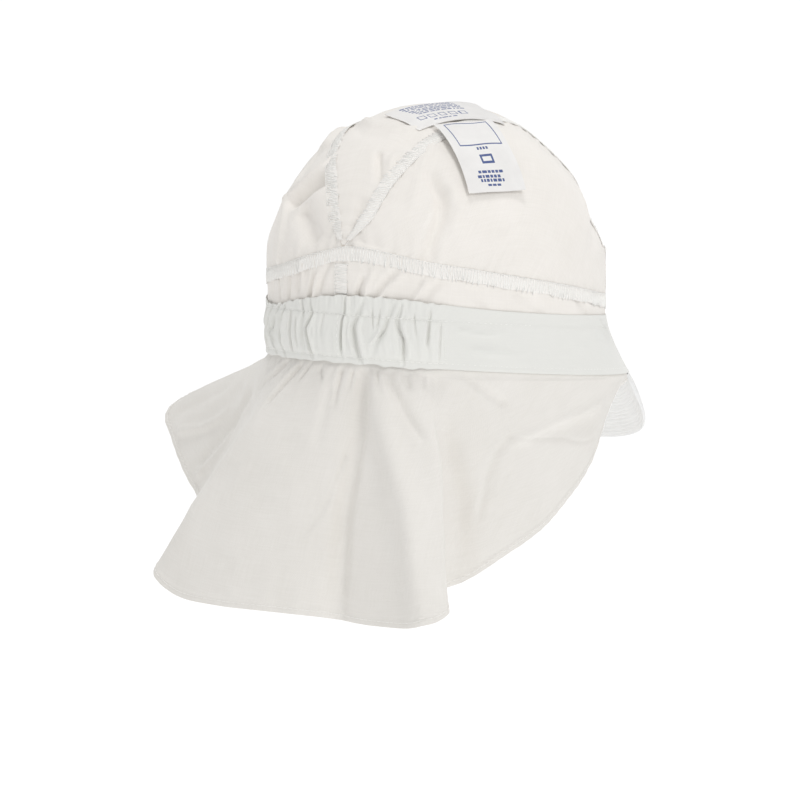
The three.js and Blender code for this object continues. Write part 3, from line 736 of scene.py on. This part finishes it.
# Pleats: turn at the rim, degrees that it moves up to the channel's top, depth, reach
PLEATS = [
    (-45, 0.5, 0.7, 1.3), (-40, -0.5, 0.8, 1.3), (-34, 0.5, 0.7, 1.4), (-28, -1, 0.8, 1.4),
    (-22, 0.5, 0.7, 1.4), (-15, -0.6, 1, 1.8), (0.6, 1.2, 0.5, 0.9), (7.1, -2.2, 1, 1.7),
    (10.8, 7, 0.7, 1.5), (21.8, -1.2, 0.8, 1.4), (30.6, 0.3, 0.6, 1.3),
]

# Finer creases of the band, from one place to another in degrees of turn and millimetres up
BAND_CREASES = [
    ([(-45, 24), (-46, 12), (-45, 1)], 0.7, -1.6, -1.4),
    ([(-41, 25), (-43.5, 12), (-44, 2)], 0.6, -1.4, -1.2),
    ([(-36, 26), (-36.5, 20), (-39.5, 10.8), (-42, -2)], 0.7, -1.8, -2.2),
    ([(-30, 25), (-32, 19), (-36, 11), (-32, -2)], 0.7, -2.2, -2.2),
    ([(-26, 26), (-28.5, 9.4), (-26, -2)], 0.65, -2, -2), ([(-22.5, 23), (-21.5, 2)], 0.7, -1.8, -1.6),
    ([(-19, 20), (-18, 5)], 0.6, -1.3, -1), ([(-17.5, 29), (-15, 19)], 0.6, -2, -1.6),
    ([(-13, 28), (-10.8, 18.5)], 0.6, -1.9, -1.6),
    ([(-11, 22), (-12.2, 18), (-13.5, 15), (-12.2, 7.7), (-11.4, -2)], 0.75, -2.6, -3.2),
    ([(-9.4, 22), (-10.6, 17), (-11.8, 14), (-10.6, 7), (-9.8, 1)], 0.9, 0.8, 0.8),
    ([(-6, 23), (-7, 11)], 0.8, -0.9, -0.5),
    ([(2.2, 33), (2.2, 23.7), (1.2, 19.5), (1, 0)], 0.5, -1.8, -1.5),
    ([(3.4, 33), (3.4, 23.7), (2.4, 19.5), (2.2, 1)], 0.7, 0.9, 0.8),
    ([(8.8, 29), (6.6, 21), (5.8, 16.7), (6.8, 8.6), (8.6, -3)], 0.8, -2.6, -3.6),
    ([(10.6, 27), (8.4, 21), (7.6, 16.7), (8.6, 9), (10.2, 0)], 0.9, 0.8, 1),
    ([(4.6, 20), (4, 14), (5.2, 5)], 0.7, 0.6, 0.7), ([(12, 25), (12.6, 16)], 0.5, -1.3, -0.8),
    ([(14.8, 25), (14, 17)], 0.5, -1.3, -0.8),
    ([(20, 30), (17.5, 22.2), (16.5, 16), (13.5, 11), (11.5, 7)], 0.9, -1.9, -0.9),
    ([(15.6, 19), (14, 14), (11.5, 9.5)], 0.8, 0.9, 0.6),
    ([(22.6, 30), (20.5, 21.4), (21, 18.2), (22.8, 12), (22.5, -2)], 0.75, -2.4, -2.8),
    ([(24.4, 26), (22.6, 18), (24.6, 10), (24.4, 2)], 0.8, 0.7, 0.7),
    ([(26, 24), (26.8, 14)], 0.5, -1.2, -0.7), ([(31.4, 27), (30.2, 9)], 0.6, -1.7, -1.3),
    ([(34.8, 22), (34.2, 3)], 0.5, -1, -0.9), ([(40, 18.6), (48, 17.2), (58, 18)], 1.1, 1, 0.6),
    ([(42, 14), (54, 13), (68, 13.4)], 1.3, -1.1, -0.6), ([(44, 9.5), (64, 7)], 1.8, 0.8, 0.4),
    ([(60, 22), (86, 17)], 2.2, -0.5, -0.3), ([(84, 12), (110, 15)], 2.2, 0.5, 0.4),
    ([(99, 22), (113, 9)], 1.4, -1.5, -1.3), ([(104, 25), (119, 13)], 1.4, 1.4, 1.2),
    ([(108, 13), (122, 4)], 1.2, -1.7, -1.4), ([(112, 19), (123, 11)], 1.1, -1.4, -1.1),
    ([(37, 6.9), (60, 6.9), (90, 6.7), (118, 6.4)], 0.7, -0.45, -0.45),
]


def gathered(turn):
    rise = ease((turn - ELASTIC_FROM + 2) / 5)
    return rise * ease((ELASTIC_TO + 2 - turn) / 8)


def band_height(turn):
    crest = bell((turn - 9) / 34)
    dip = 4.5 * bell((turn + 36) / 22)
    return mix(BAND_FRONT_HEIGHT, 31, crest) - dip


def pleat_share(turn, height):
    """Share of the puff that the pleats leave."""
    share = np.ones(np.broadcast(turn, height).shape)
    for at, slant, depth, reach in PLEATS:
        place = at + slant * height / TUNNEL_TOP
        share = share * (1 - depth * bell((turn - place) / (0.6 * reach)))
    return share


def channel_bow(height):
    """From 0 at either row of the channel's stitches to 1 halfway between them."""
    share = np.clip((height - HEM_STITCH_HEIGHT) / (TUNNEL_TOP - HEM_STITCH_HEIGHT), 0, 1)
    return np.sin(math.pi * share)


def band_stand_off(turn, height):
    """How far the band's inner face stands off the wall behind it."""
    puff = GATHER_PUFF * channel_bow(height) ** 0.8 * pleat_share(turn, height)
    above = np.clip((height - TUNNEL_TOP) / (band_height(turn) - TUNNEL_TOP), 0, 1)
    ruffle = RUFFLE_LEAN * above * mix(0.3, 1, pleat_share(turn, height))
    lift = ELASTIC_LIFT * mix(0.35, 1, np.clip(height / 4, 0, 1)) * (1 - 0.75 * above)
    return BAND_GAP + gathered(turn) * (lift + puff + ruffle)


band_turns = turns_round(560, 240)[:, None]
band_wrapped = np.where(band_turns > 180, band_turns - 360, band_turns)
band_top = band_height(band_wrapped)
band_gather = gathered(band_wrapped)
ruffle_edge = 0.9 * crumple(on_wall(band_turns, band_top), 3.4, 61) * band_gather
channel_rows = np.concatenate(
    [
        np.linspace(TUNNEL_TOP + 0.8, TUNNEL_TOP - 0.8, 5),
        np.linspace(TUNNEL_TOP - 2.2, HEM_STITCH_HEIGHT + 2.2, 13),
        np.linspace(HEM_STITCH_HEIGHT + 0.8, HEM_STITCH_HEIGHT - 0.8, 5),
        [1.0, 0.5, 0.15, 0.0],
    ]
)
ruffle_rows = np.array([0.0, 0.02, 0.07, 0.2, 0.4, 0.6, 0.8])
band_heights = np.concatenate(
    [
        mix(band_top + ruffle_edge, TUNNEL_TOP + 0.8, ruffle_rows[None, :]),
        np.broadcast_to(channel_rows, (len(band_turns), len(channel_rows))),
    ],
    1,
)
low_wave = 0.4 + crumple(on_wall(band_turns, 0.0), 4.5, 69)
band_heights = band_heights - 0.9 * band_gather * low_wave * np.clip(1 - band_heights / 4.5, 0, 1)
edge_round = np.ones(band_heights.shape[1])
edge_round[:3] = (0.3, 0.72, 1)
edge_round[-3:] = (1, 0.8, 0.4)
band_off = band_stand_off(band_wrapped, band_heights)
band_flat = on_wall(band_turns, band_heights)
fine_pleats = crumple(band_flat * (1, 1, 0.16), 2.6, 63)
fine_pleats = fine_pleats + 0.6 * crumple(band_flat * (1, 1, 0.3), 1.5, 65)
above_channel = np.clip((band_heights - TUNNEL_TOP) / 7, 0, 1)
tight = 0.22 + 0.9 * bell((band_wrapped + 36) / 15)
pleat_depth = 1.2 * channel_bow(band_heights) * tight + 0.6 * above_channel + 0.15
band_relief = band_gather * fine_pleats * pleat_depth
soft = 0.25 * crushed(band_flat, 67) * (1 - 0.5 * band_gather)
band_relief = band_relief + soft + creases(band_flat, on_wall, BAND_CREASES)
stitch_rows = np.maximum(
    bell((band_heights - TUNNEL_TOP) / 0.5), bell((band_heights - HEM_STITCH_HEIGHT) / 0.5)
)
band_relief = band_relief * (1 - 0.4 * stitch_rows) - 0.34 * stitch_rows
band_relief = band_relief * np.clip(band_heights / 1.5, 0.3, 1)
band_relief = np.maximum(band_relief, -band_off + 0.1)
band_outer = band_off + BAND_OUTER + band_relief + 0.3 * band_gather
band_mid = band_outer - BAND_CLOTH / 2
band_half = BAND_CLOTH / 2 * edge_round
band_faces = (wall_point(band_turns, band_heights, band_mid + half) for half in (band_half, -band_half))
headband = cloth_wall("headband_cloth", *band_faces, ring=True)
band_finish = {"thread": 0.3, "weave": 0.00007, "slub": 0.25, "mottle": 0.015, "sheen": 0.35}
band_cloth = woven("headband poplin", BAND_COLOUR, **band_finish)
finish_piece(headband, band_cloth, "band_cloth", "headband")

BAND_STITCH_PITCH = 2.65
lock_path = [(-1.05, 0, -0.22), (-0.8, 0, 0.02), (-0.3, 0, 0.12)]
lock_path += [(0.3, 0, 0.12), (0.8, 0, 0.02), (1.05, 0, -0.22)]
lock_stitch = thread_unit("lockstitch", [lock_path], 0.12, sides=6)


def line_facts(points, towards):
    """Across and out at each point of a row; towards: about which way is out."""
    ahead = unit(np.gradient(points, axis=0))
    across = unit(np.cross(towards, ahead))
    return unit(np.cross(ahead, across)), across


band_lines = []


def stitch_row(turns, heights, size, raised, puff=0.0):
    """Lays out a row of stitches on the band."""
    off = band_stand_off(turns, heights) + BAND_OUTER + raised + puff
    points = wall_point(turns, heights, off)
    band_lines.append((points, *line_facts(points, outwards(turns)), size, False))


for height, low, high in ((HEM_STITCH_HEIGHT, -180, 180), (TUNNEL_TOP, -50, 66)):
    turns = np.linspace(low, high, 900)
    stitch_row(turns, np.full_like(turns, height), 1.0, -0.25, 0.3 * gathered(turns))
for at in (ELASTIC_FROM, ELASTIC_TO):
    stitch_row(at + 0.45 * (-1) ** np.arange(24), np.linspace(4.5, 20, 24), 0.55, 0.3)
stitch_row(np.full(30, -0.2), np.linspace(21, 4, 30), 0.8, 0.2)
sew("headband_stitches", band_lines, lock_stitch, BAND_STITCH_PITCH, 7, slot="band_cloth")

# Neck flap. A wide piece of the same thin cotton as the crown that hangs free from the rim behind
# the ears, gathered by the elastic and turned up twice at its lower edge into a narrow hem with
# one row of stitches. It falls in the broad folds that it had when it was photographed.

FLAP_LENGTH = 118.0
TEMPLE_TURN = 121.5
HEM_WIDTH = 3.5
HEM_STITCH_PITCH = 2.6
FLAP_COLOUR = (0.845, 0.822, 0.785)

# Each fall from the rim to the hem: turn, out, sideways and drop as shares of the length, swell
FLAP_FALLS = [
    (-121.5, 0.0, 0.0, 0.025, 0), (-115, 0.031, -0.010, 0.080, 0), (-106, 0.132, -0.062, 0.159, 0),
    (-95, 0.305, -0.128, 0.191, 0), (-85, 0.452, -0.188, 0.204, 0), (-77, 0.513, -0.236, 0.257, 0),
    (-70, 0.498, -0.287, 0.316, 0), (-63, 0.420, -0.324, 0.390, 0), (-57, 0.328, -0.310, 0.519, 0),
    (-49, 0.227, -0.312, 0.633, 0), (-37, 0.195, -0.353, 0.728, 0.02),
    (-27, 0.263, -0.421, 0.811, 0.04), (-20, 0.354, -0.469, 0.861, 0.05),
    (-14, 0.342, -0.398, 0.924, 0.06), (-8, 0.304, -0.292, 0.939, 0.06),
    (-2, 0.249, -0.166, 0.944, 0.06), (3, 0.188, -0.065, 0.956, 0.05),
    (6.5, 0.136, -0.027, 0.970, 0.04), (8.7, 0.186, 0.091, 0.972, 0.03),
    (11.5, 0.269, 0.218, 0.959, 0.04), (17, 0.304, 0.212, 0.941, 0.06),
    (24, 0.321, 0.147, 0.919, 0.07), (31, 0.295, 0.072, 0.883, 0.07),
    (35.5, 0.181, -0.024, 0.855, 0.04), (40, 0.061, -0.084, 0.842, 0),
    (50, 0.035, -0.086, 0.795, 0.02), (60, 0.038, -0.057, 0.696, 0.04),
    (72, 0.011, -0.026, 0.600, 0.04), (85, -0.008, -0.029, 0.483, 0.04),
    (97, -0.025, -0.023, 0.354, 0.02), (108, -0.040, -0.009, 0.173, 0), (116, -0.027, 0.009, 0.056, 0),
    (121.5, 0.0, 0.0, 0.026, 0),
]


def sideways(turn):
    angle = np.radians(turn)
    return vectors(-np.cos(angle), -np.sin(angle), 0.0)


def root_point(turn):
    """Where a piece that hangs from the rim starts, under the headband's lower edge."""
    return wall_point(turn, -1.0, -0.6)


def flap_point(turn, share):
    """Where the line that falls from the rim at a turn has got to."""
    turn, share = np.broadcast_arrays(*np.atleast_1d(turn, share))
    out, side, drop, swell = (read_table(FLAP_FALLS, turn, k) for k in (1, 2, 3, 4))
    start = root_point(turn)
    level = (outwards(turn) * out[..., None] + sideways(turn) * side[..., None]) * FLAP_LENGTH
    bow = 2 * share * (1 - share) * swell
    point = start + level * (share + bow)[..., None]
    point[..., 2] -= np.maximum(drop * FLAP_LENGTH, 3) * (share - bow)
    return point


flap_edge = TEMPLE_TURN - 0.01
fine_turns = np.linspace(-flap_edge, flap_edge, 4001)
hem_run = run_along(flap_point(fine_turns, 1.0)[:, None, :])[:, 0]
root_run = run_along(flap_point(fine_turns, 0.0)[:, None, :])[:, 0]
spacing = hem_run + 0.6 * root_run
flap_turns = np.interp(np.linspace(0, spacing[-1], 400), spacing, fine_turns)[:, None]
fall_length = run_along(flap_point(flap_turns.T, np.linspace(0, 1, 24)[:, None]))[-1][:, None]
hem_share = 1 - np.minimum(HEM_WIDTH, 0.45 * fall_length) / fall_length
hem_steps = np.array([0.0, 0.06, 0.2, 0.34, 0.42, 0.55, 0.7, 0.85, 0.94, 0.985, 1.0])
body_steps = np.linspace(0, 1, 84)[:-1]
flap_shares = np.concatenate([hem_share * body_steps, mix(hem_share, 1, hem_steps)], 1)
flap_mid = flap_point(flap_turns, flap_shares)
down = np.gradient(flap_mid, axis=1)
round_way = np.gradient(flap_mid, axis=0)
flap_face = unit(np.cross(down, round_way))
from_rim = flap_shares * fall_length

# Creases of the flap, from one place to another in degrees of turn and share of the fall
FLAP_CREASES = [
    ([(8.6, -0.1), (7.8, 0.24), (6.9, 0.45), (6.3, 0.61), (7, 1.15)], 3.6, -3, -2.2),
    ([(12.4, -0.08), (13.2, 0.26), (14.8, 0.43), (17, 0.59), (17, 0.79), (16.4, 1.1)], 6.6, 3.4, 6.6),
    ([(31.8, -0.1), (33, 0.19), (38.8, 0.35), (45.2, 0.6), (49, 1.05)], 6.5, -2.2, -4.2),
    ([(16.8, -0.05), (17, 0.07), (21, 0.21), (27.5, 0.34)], 2, -2.8, -1.2),
    ([(51.8, 0.78), (53.2, 0.53), (56.4, 0.41), (63, 0.34)], 1.8, -1.1, -0.8),
    ([(56, 0.7), (57.5, 0.5), (60, 0.42)], 2.4, 0.6, 0.4),
    ([(57, 0.4), (80, 0.345), (102, 0.33)], 2.6, 1.1, 1),
    ([(57, 0.35), (70, 0.415), (82, 0.485), (101, 0.76)], 0.9, -0.6, -0.6),
    ([(66, 0.38), (84, 0.43), (102, 0.5)], 5, -1.2, -1.8),
    ([(40, -0.03), (50, 0.08), (60, 0.19)], 2, -1.6, -0.9),
    ([(56, 0.12), (61, 0.42)], 2.6, -0.8, -0.8),
    ([(-8.4, -0.02), (-7.4, 0.03), (-4.4, 0.09)], 0.9, -1.1, -1),
    ([(-17.4, -0.04), (-17.6, 0.05), (-19, 0.25)], 1.4, -2.8, -1.6),
    ([(-25, -0.03), (-28, 0.07), (-40, 0.2)], 1.6, -2.4, -1.2),
    ([(-12.8, -0.03), (-13.4, 0.1)], 1, -1.8, -0.9), ([(0.1, -0.04), (0.9, 0.2)], 1.2, -1.8, -0.9),
    ([(-1.6, 0.08), (-0.4, 0.38)], 2.6, -1.3, -0.6), ([(5, -0.04), (4, 0.12)], 0.9, -1.8, -0.8),
    ([(12.5, -0.04), (13.5, 0.13)], 1, -1.7, -0.8), ([(22.5, -0.04), (23.5, 0.1)], 1.1, -2, -1),
    ([(28, -0.03), (29, 0.09)], 1.1, -1.5, -0.7),
    ([(4, 0.5), (2.8, 0.58), (1.6, 0.66), (0, 0.74)], 0.7, -0.8, -0.5),
    ([(5.8, 0.36), (4.2, 0.49)], 0.7, -1, -0.6),
    ([(-63, 0.93), (-61, 0.8), (-56, 0.45)], 2.4, 1.7, 1.5),
    ([(-54, 0.93), (-53, 0.8), (-50, 0.5)], 2.4, 1.8, 1.5),
    ([(-69, 0.92), (-64, 0.35)], 4, -1.6, -1.2),
    ([(-48, 0.2), (-52, 0.6), (-55, 0.92)], 3.5, -1.5, -1.2),
]


pinch = np.zeros(flap_mid.shape[:2])
for at, slant, depth, reach in PLEATS:
    pinch = pinch - 0.9 * depth * bell((flap_turns - at) / (reach * 1.1)) * np.exp(-from_rim / 13)
ripple = crumple(flap_point(flap_turns, 0.0), 3.2, 71)
pinch = pinch + gathered(flap_turns) * 1.1 * ripple * np.exp(-from_rim / 9)
flap_relief = pinch + 0.8 * crushed(flap_mid, 73) * np.clip(from_rim / 12, 0.2, 1)
flap_relief = flap_relief + creases(flap_mid, flap_point, FLAP_CREASES)
below_rim = np.clip((from_rim - 1.0) / 3, 0, 1)
flap_relief = flap_relief * below_rim
hem_column = np.arange(flap_shares.shape[1]) - len(body_steps)
hem_rows = (hem_column >= 0) * 1.0
hem_top = np.where(hem_column == 0, 0.15, hem_rows)
hem_dip = ((hem_column == 3) | (hem_column == 4)) * 1.0
hem_run_there = run_along(flap_mid)[:, -1:]
hem_ripple = 0.12 * np.sin(2 * math.pi * hem_run_there / 7.5 + 2 * np.sin(hem_run_there / 16))
flap_relief = flap_relief + hem_ripple * np.exp(-(fall_length - from_rim) / 5) * below_rim
flap_round = np.ones_like(hem_rows)
flap_round[-3:] = (0.9, 0.6, 0.25)
outer_half = (0.28 + 0.2 * hem_top - 0.1 * hem_dip) * flap_round
inner_half = (0.28 + 0.15 * hem_rows) * flap_round
flap_outer = flap_mid + flap_face * (flap_relief + outer_half)[..., None]
flap_inner = flap_mid + flap_face * (flap_relief - inner_half)[..., None]


def tucked_in(turns, *faces):
    """Both faces of a piece, carried up behind the headband."""
    return [np.concatenate([wall_point(turns, TUCK - 0.3, out), face], 1) for out, face in faces]


neck_flap = cloth_wall("neck_flap_cloth", *tucked_in(flap_turns, (-0.1, flap_outer), (-0.9, flap_inner)))
flap_cloth = woven("neck flap cotton", FLAP_COLOUR, warm=0.02)
finish_piece(neck_flap, flap_cloth, "flap_cloth", "neck_flap")

hem_at = len(body_steps) + 3
hem_points = flap_outer[:, hem_at]
hem_out, hem_across = line_facts(hem_points, flap_face[:, hem_at])
hem_line = (hem_points + hem_out * 0.1, hem_out, hem_across, 1.0, False)
hem_stitches = sew("hem_stitches", [hem_line], lock_stitch, HEM_STITCH_PITCH, 9, slot="flap_cloth")

# Peak. A short soft peak of white cotton over a thin stiffener, with rows of machine stitches
# that follow its outer edge. Its root is caught under the headband's lower edge at the front.

PEAK_LENGTH = 52.0
PEAK_THICKNESS = 2.6
PEAK_FIRST_DROOP = 36.0
PEAK_LAST_DROOP = 64.0
PEAK_ROWS = 2.2
PEAK_FIRST_ROW = 2.2
PEAK_STITCH_PITCH = 2.1
PEAK_COLOUR = (0.885, 0.887, 0.88)


def peak_length(turn):
    t = np.abs(180 - turn) / (180 - TEMPLE_TURN)
    return np.maximum(PEAK_LENGTH * np.clip(1 - t**2.6, 0, 1) ** 0.5, 3.0)


def peak_point(turn, share):
    """The middle of the peak's thickness, and which way is up there."""
    first, last = math.radians(PEAK_FIRST_DROOP), math.radians(PEAK_LAST_DROOP)
    droop = mix(first, last, share)
    ahead = (np.sin(droop) - math.sin(first)) / (last - first)
    fall = (math.cos(first) - np.cos(droop)) / (last - first)
    zero = np.zeros_like(droop)
    start = root_point(turn)
    step = np.stack([zero, -ahead, -fall], -1) * peak_length(turn)[..., None]
    return start + step, np.stack([zero, -np.sin(droop), np.cos(droop)], -1)


def peak_softness(points):
    return 0.5 * crumple(points, 30, 81) + 0.2 * crumple(points, 12, 82)


peak_edge = TEMPLE_TURN + 0.01
peak_turns, peak_shares = np.meshgrid(
    np.linspace(peak_edge, 360 - peak_edge, 150),
    np.concatenate([np.linspace(0, 0.955, 110), [0.972, 0.985, 0.994, 1.0]]),
    indexing="ij",
)
peak_mid, peak_up = peak_point(peak_turns, peak_shares)
from_edge = np.minimum(
    (1 - peak_shares) * peak_length(peak_turns), 1.2 * np.abs(peak_edge - peak_turns) + 60
)
row_phase = (from_edge - PEAK_FIRST_ROW) / PEAK_ROWS
near_row = np.abs(row_phase - np.round(row_phase)) * PEAK_ROWS
quilt = -0.22 * bell(near_row / 0.5) * (from_edge > 1.2)
edge_gap = np.clip(from_edge / 1.6, 0, 1)
peak_half = (PEAK_THICKNESS / 2) * np.sqrt(np.clip(1 - (1 - edge_gap) ** 2, 0.04, 1))
settle = np.clip(peak_shares / 0.08, 0, 1)
peak_half = mix(0.4, peak_half, settle)
peak_way = mix(outwards(peak_turns), peak_up, settle[..., None])
peak_middle = peak_mid + (peak_softness(peak_mid) * settle)[..., None] * peak_up
peak_thick = peak_way * (peak_half + quilt * settle)[..., None]
peak_under, peak_over = (-0.9, peak_middle - peak_thick), (-0.1, peak_middle + peak_thick)
peak_piece = cloth_wall("peak_cloth_cover", *tucked_in(peak_turns[:, :1], peak_under, peak_over))
peak_cloth = woven("peak cotton", PEAK_COLOUR, thread=0.4, mottle=0.02)
finish_piece(peak_piece, peak_cloth, "peak_cloth", "peak")

peak_lines = []
for row in range(18):
    gap = PEAK_FIRST_ROW + row * PEAK_ROWS
    turns = np.linspace(peak_edge, 360 - peak_edge, 400)
    share = 1 - gap / peak_length(turns)
    turns, share = turns[share > 0.09], share[share > 0.09]
    if len(turns) < 20:
        continue
    middle, up = peak_point(turns, share)
    out, across = line_facts(middle, -up)
    middle = middle + peak_softness(middle)[:, None] * up
    for sign in (1, -1):
        points = middle - up * sign * (PEAK_THICKNESS / 2 - 0.2)
        peak_lines.append((points, out * sign, across, 0.75, False))
sew("peak_stitches", peak_lines, lock_stitch, PEAK_STITCH_PITCH, 13, slot="peak_cloth")

# Labels. Two narrow ribbons of white satin, sewn at their upper ends into the crown's seams: one
# for care directions and one for a name. Here they carry plain bars and empty frames.

LABEL_WIDTH = 29.0
LABEL_THICKNESS = 0.32
CURLED_EDGE = 3.5
LABEL_COLOUR = (0.88, 0.866, 0.85)
INK_COLOUR = (0.075, 0.115, 0.29)


def satin(name, colour, dullness):
    """Smooth ribbon with fine lengthwise ribs; ink sits on it a little duller."""
    material, node = new_finish(name)
    split = node("SeparateXYZ", Vector=node("UVMap", uv_map="threads").outputs["UV"])
    ribs = wave_along(node, split.outputs["Y"], 0.5 * MM)
    where = node("TexCoord").outputs["Object"]
    broad = node("TexNoise", Vector=where, Scale=120.0, Detail=3.0).outputs["Fac"]
    height = sum_of(node, (ribs, 0.5), (broad, 0.6))
    bump = node("Bump", Strength=0.6, Distance=0.0001, Height=height)
    rough = node("MapRange", s0=broad, s3=dullness[0], s4=dullness[1])
    tones = ([c * 0.965 for c in colour], [min(c * 1.02, 1) for c in colour])
    return complete(material, broad, tones, (0.3, 0.7), rough, bump, {"Sheen Weight": 0.15})


label_satin = satin("label satin", LABEL_COLOUR, (0.34, 0.5))
label_ink = satin("label print", INK_COLOUR, (0.55, 0.7))


def label(node, start, end, lift, arch, curl, hug, bars):
    """A ribbon over the crown. start, end: the middle of either end, as shares of the head's half
    width to the right and half length to the back. bars: the print as (along, across) boxes."""

    def middle(t, out):
        x, y = -mix(start[0], end[0], t), mix(start[1], end[1], t)
        return shell_point(np.stack([x, y, np.sqrt(1 - x * x - y * y)], -1), out)

    t = np.linspace(0, 1, 109)
    low = 0.4 + mix(lift[0], lift[1], t) + arch * np.sin(math.pi * t)
    point = middle(t, low)
    up = unit(middle(t, low + 1) - point)
    across = unit(np.cross(middle(t + 0.01, low) - middle(t - 0.01, low), up))
    w = np.linspace(-LABEL_WIDTH / 2, LABEL_WIDTH / 2, 61)
    from_side = LABEL_WIDTH / 2 - np.abs(w)
    lifted = curl * ease(1 - from_side / CURLED_EDGE)[None, :] * (0.6 + 0.4 * np.sin(t * 9)[:, None])
    waves = 0.25 * np.sin(w / 3.1)[None, :] * np.sin(t * 7 + 1)[:, None]
    grid = point[:, None, :] + across[:, None, :] * w[None, :, None]
    along_shell = (grid - (0, 0, WALL_TOP)) / (HALF_WIDTH, HALF_LENGTH, DOME_RISE)
    draped = shell_point(along_shell, low[:, None] * np.ones_like(w))
    grid = mix(grid, draped, hug) + up[:, None, :] * (lifted + waves)[..., None]
    thick = up[:, None, :] * LABEL_THICKNESS / 2
    piece = cloth_wall(node + "_ribbon", grid + thick, grid - thick)
    piece.data.materials.append(label_satin)
    piece.data.materials.append(label_ink)
    run = run_along(point[:, None, :])[:, 0]
    cells = (len(t) - 1) * (len(w) - 1)
    centre_run = np.repeat((run[1:] + run[:-1]) / 2, len(w) - 1)
    centre_w = np.tile((w[1:] + w[:-1]) / 2, len(t) - 1)
    inked = np.zeros(cells, bool)
    for run_from, run_to, w_from, w_to in bars:
        inside = (centre_run > run_from) & (centre_run < run_to)
        inked |= inside & (centre_w > w_from) & (centre_w < w_to)
    marks = np.zeros(len(piece.data.polygons), np.int32)
    marks[:cells] = inked
    piece.data.polygons.foreach_set("material_index", marks)
    finish_piece(piece, label_satin, "label_ribbon", node)


def bar_row(run, from_w, to_w, rise, draw, widths=(1.2, 2.8), gap=0.6):
    """One plain row of short bars across a label."""
    bars, w = [], from_w
    while w < to_w:
        length = draw.uniform(*widths)
        bars.append((run, run + rise, w, min(w + length, to_w)))
        w += length + gap
    return bars


def turned(bars):
    """The same bars with their rows running along the ribbon."""
    return [(w0, w1, run0, run1) for run0, run1, w0, w1 in bars]


def empty_frame(run0, run1, w0, w1, line):
    sides = [(run0, run0 + line, w0, w1), (run1 - line, run1, w0, w1)]
    return sides + [(run0, run1, w0, w0 + line), (run0, run1, w1 - line, w1)]


draw = np.random.default_rng(23)
care_bars = []
for row in range(7):
    start_run = 6.5 + 0.5 * row
    care_bars += turned(bar_row(-12.6 + 2.05 * row, start_run, 34, 0.95, draw, (1.0, 3.4)))
for box in range(5):
    care_bars += empty_frame(6 + 5.6 * box, 10 + 5.6 * box, 3.4, 7.4, 0.55)
care_bars += turned(bar_row(9.4, 12, 25, 0.9, draw))
name_bars = empty_frame(1.6, 20, -11.5, 10.2, 0.6)
name_bars += bar_row(21.4, -3.1, 2.9, 1.6, draw, (0.8, 1.3), 0.5)
name_bars += empty_frame(26.2, 31.2, -3.2, 3.0, 1.0)
for row, (low_w, high_w) in enumerate(((-5.6, 7.3), (-4.0, 8.2), (-5.3, 6.9), (-2.9, 4.1))):
    name_bars += bar_row(35.2 + 2.3 * row, low_w, high_w, 1.4, draw, (0.9, 2.2), 0.45)
label("care_label", (0.0, 0.375), (0.31, -0.11), (0.1, 0.3), 0.3, 0.3, 0.92, care_bars)
label("name_label", (0.335, 0.25), (0.722, 0.468), (1.2, 1.0), 1.2, 0.6, 0.2, name_bars)

# Studio. A white table far below that glows a little, soft lamps above, at the upper right and
# behind, even light all round, and a long lens at the photograph's angle.

CAMERA_DISTANCE = 3.0
FRAME_WIDTH = 0.371
AZIMUTH, ELEVATION = math.radians(210), math.radians(9)

right = Vector((math.cos(AZIMUTH), math.sin(AZIMUTH), 0))
level = math.cos(ELEVATION)
back = Vector((math.sin(AZIMUTH) * level, -math.cos(AZIMUTH) * level, math.sin(ELEVATION)))
upward = back.cross(right)
target = right * -0.01693 + upward * -0.01762
camera_data = bpy.data.cameras.new("camera")
camera_data.lens = 36 * CAMERA_DISTANCE / FRAME_WIDTH
camera_data.sensor_width = 36
camera_data.clip_end = 60
camera = add_object("camera", camera_data)
camera.matrix_world = Matrix.Translation(target + back * CAMERA_DISTANCE) @ Matrix(
    (right, upward, back)
).transposed().to_4x4()
bpy.context.scene.camera = camera


def lamp(name, place, size, power):
    data = bpy.data.lights.new(name, "AREA")
    data.shape = "DISK"
    data.size = size
    data.energy = power
    light = add_object(name, data)
    light.location = place
    light.rotation_euler = (-Vector(place)).to_track_quat("-Z", "Y").to_euler()


lamp("top lamp", back * 0.35 + upward * 2.45, 0.7, 14)
lamp("front lamp", back * 1.9 + right * 1.1 + upward * 1.1, 0.7, 10)
lamp("rear lamp", upward * 2.2 - back * 1.2, 0.7, 4)

floor_mesh = bpy.data.meshes.new("floor")
corners = ((-14, -14), (14, -14), (14, 14), (-14, 14))
floor_mesh.from_pydata([(x, y, -0.6) for x, y in corners], [], [(0, 1, 2, 3)])
floor = add_object("floor", floor_mesh)
paint, node = new_finish("white floor")
far = node("VectorMath", operation="LENGTH", s0=node("TexCoord").outputs["Object"]).outputs["Value"]
glow = node("MapRange", s0=far, s1=1.0, s2=2.0, s3=0.27, s4=0.48).outputs["Result"]
white = {"Base Color": (0.95, 0.95, 0.95, 1), "Roughness": 0.9, "Emission Color": (1, 1, 1, 1)}
set_shader(paint, white | {"Emission Strength": glow})
floor_mesh.materials.append(paint)

world = bpy.context.scene.world or bpy.data.worlds.new("world")
bpy.context.scene.world = world
world.use_nodes = True
for socket, value in (("Color", (1, 1, 1, 1)), ("Strength", 0.6)):
    world.node_tree.nodes["Background"].inputs[socket].default_value = value
bpy.context.scene.view_settings.view_transform = "Standard"

for stitch in (overlock_stitch, lock_stitch):
    bpy.data.objects.remove(stitch)
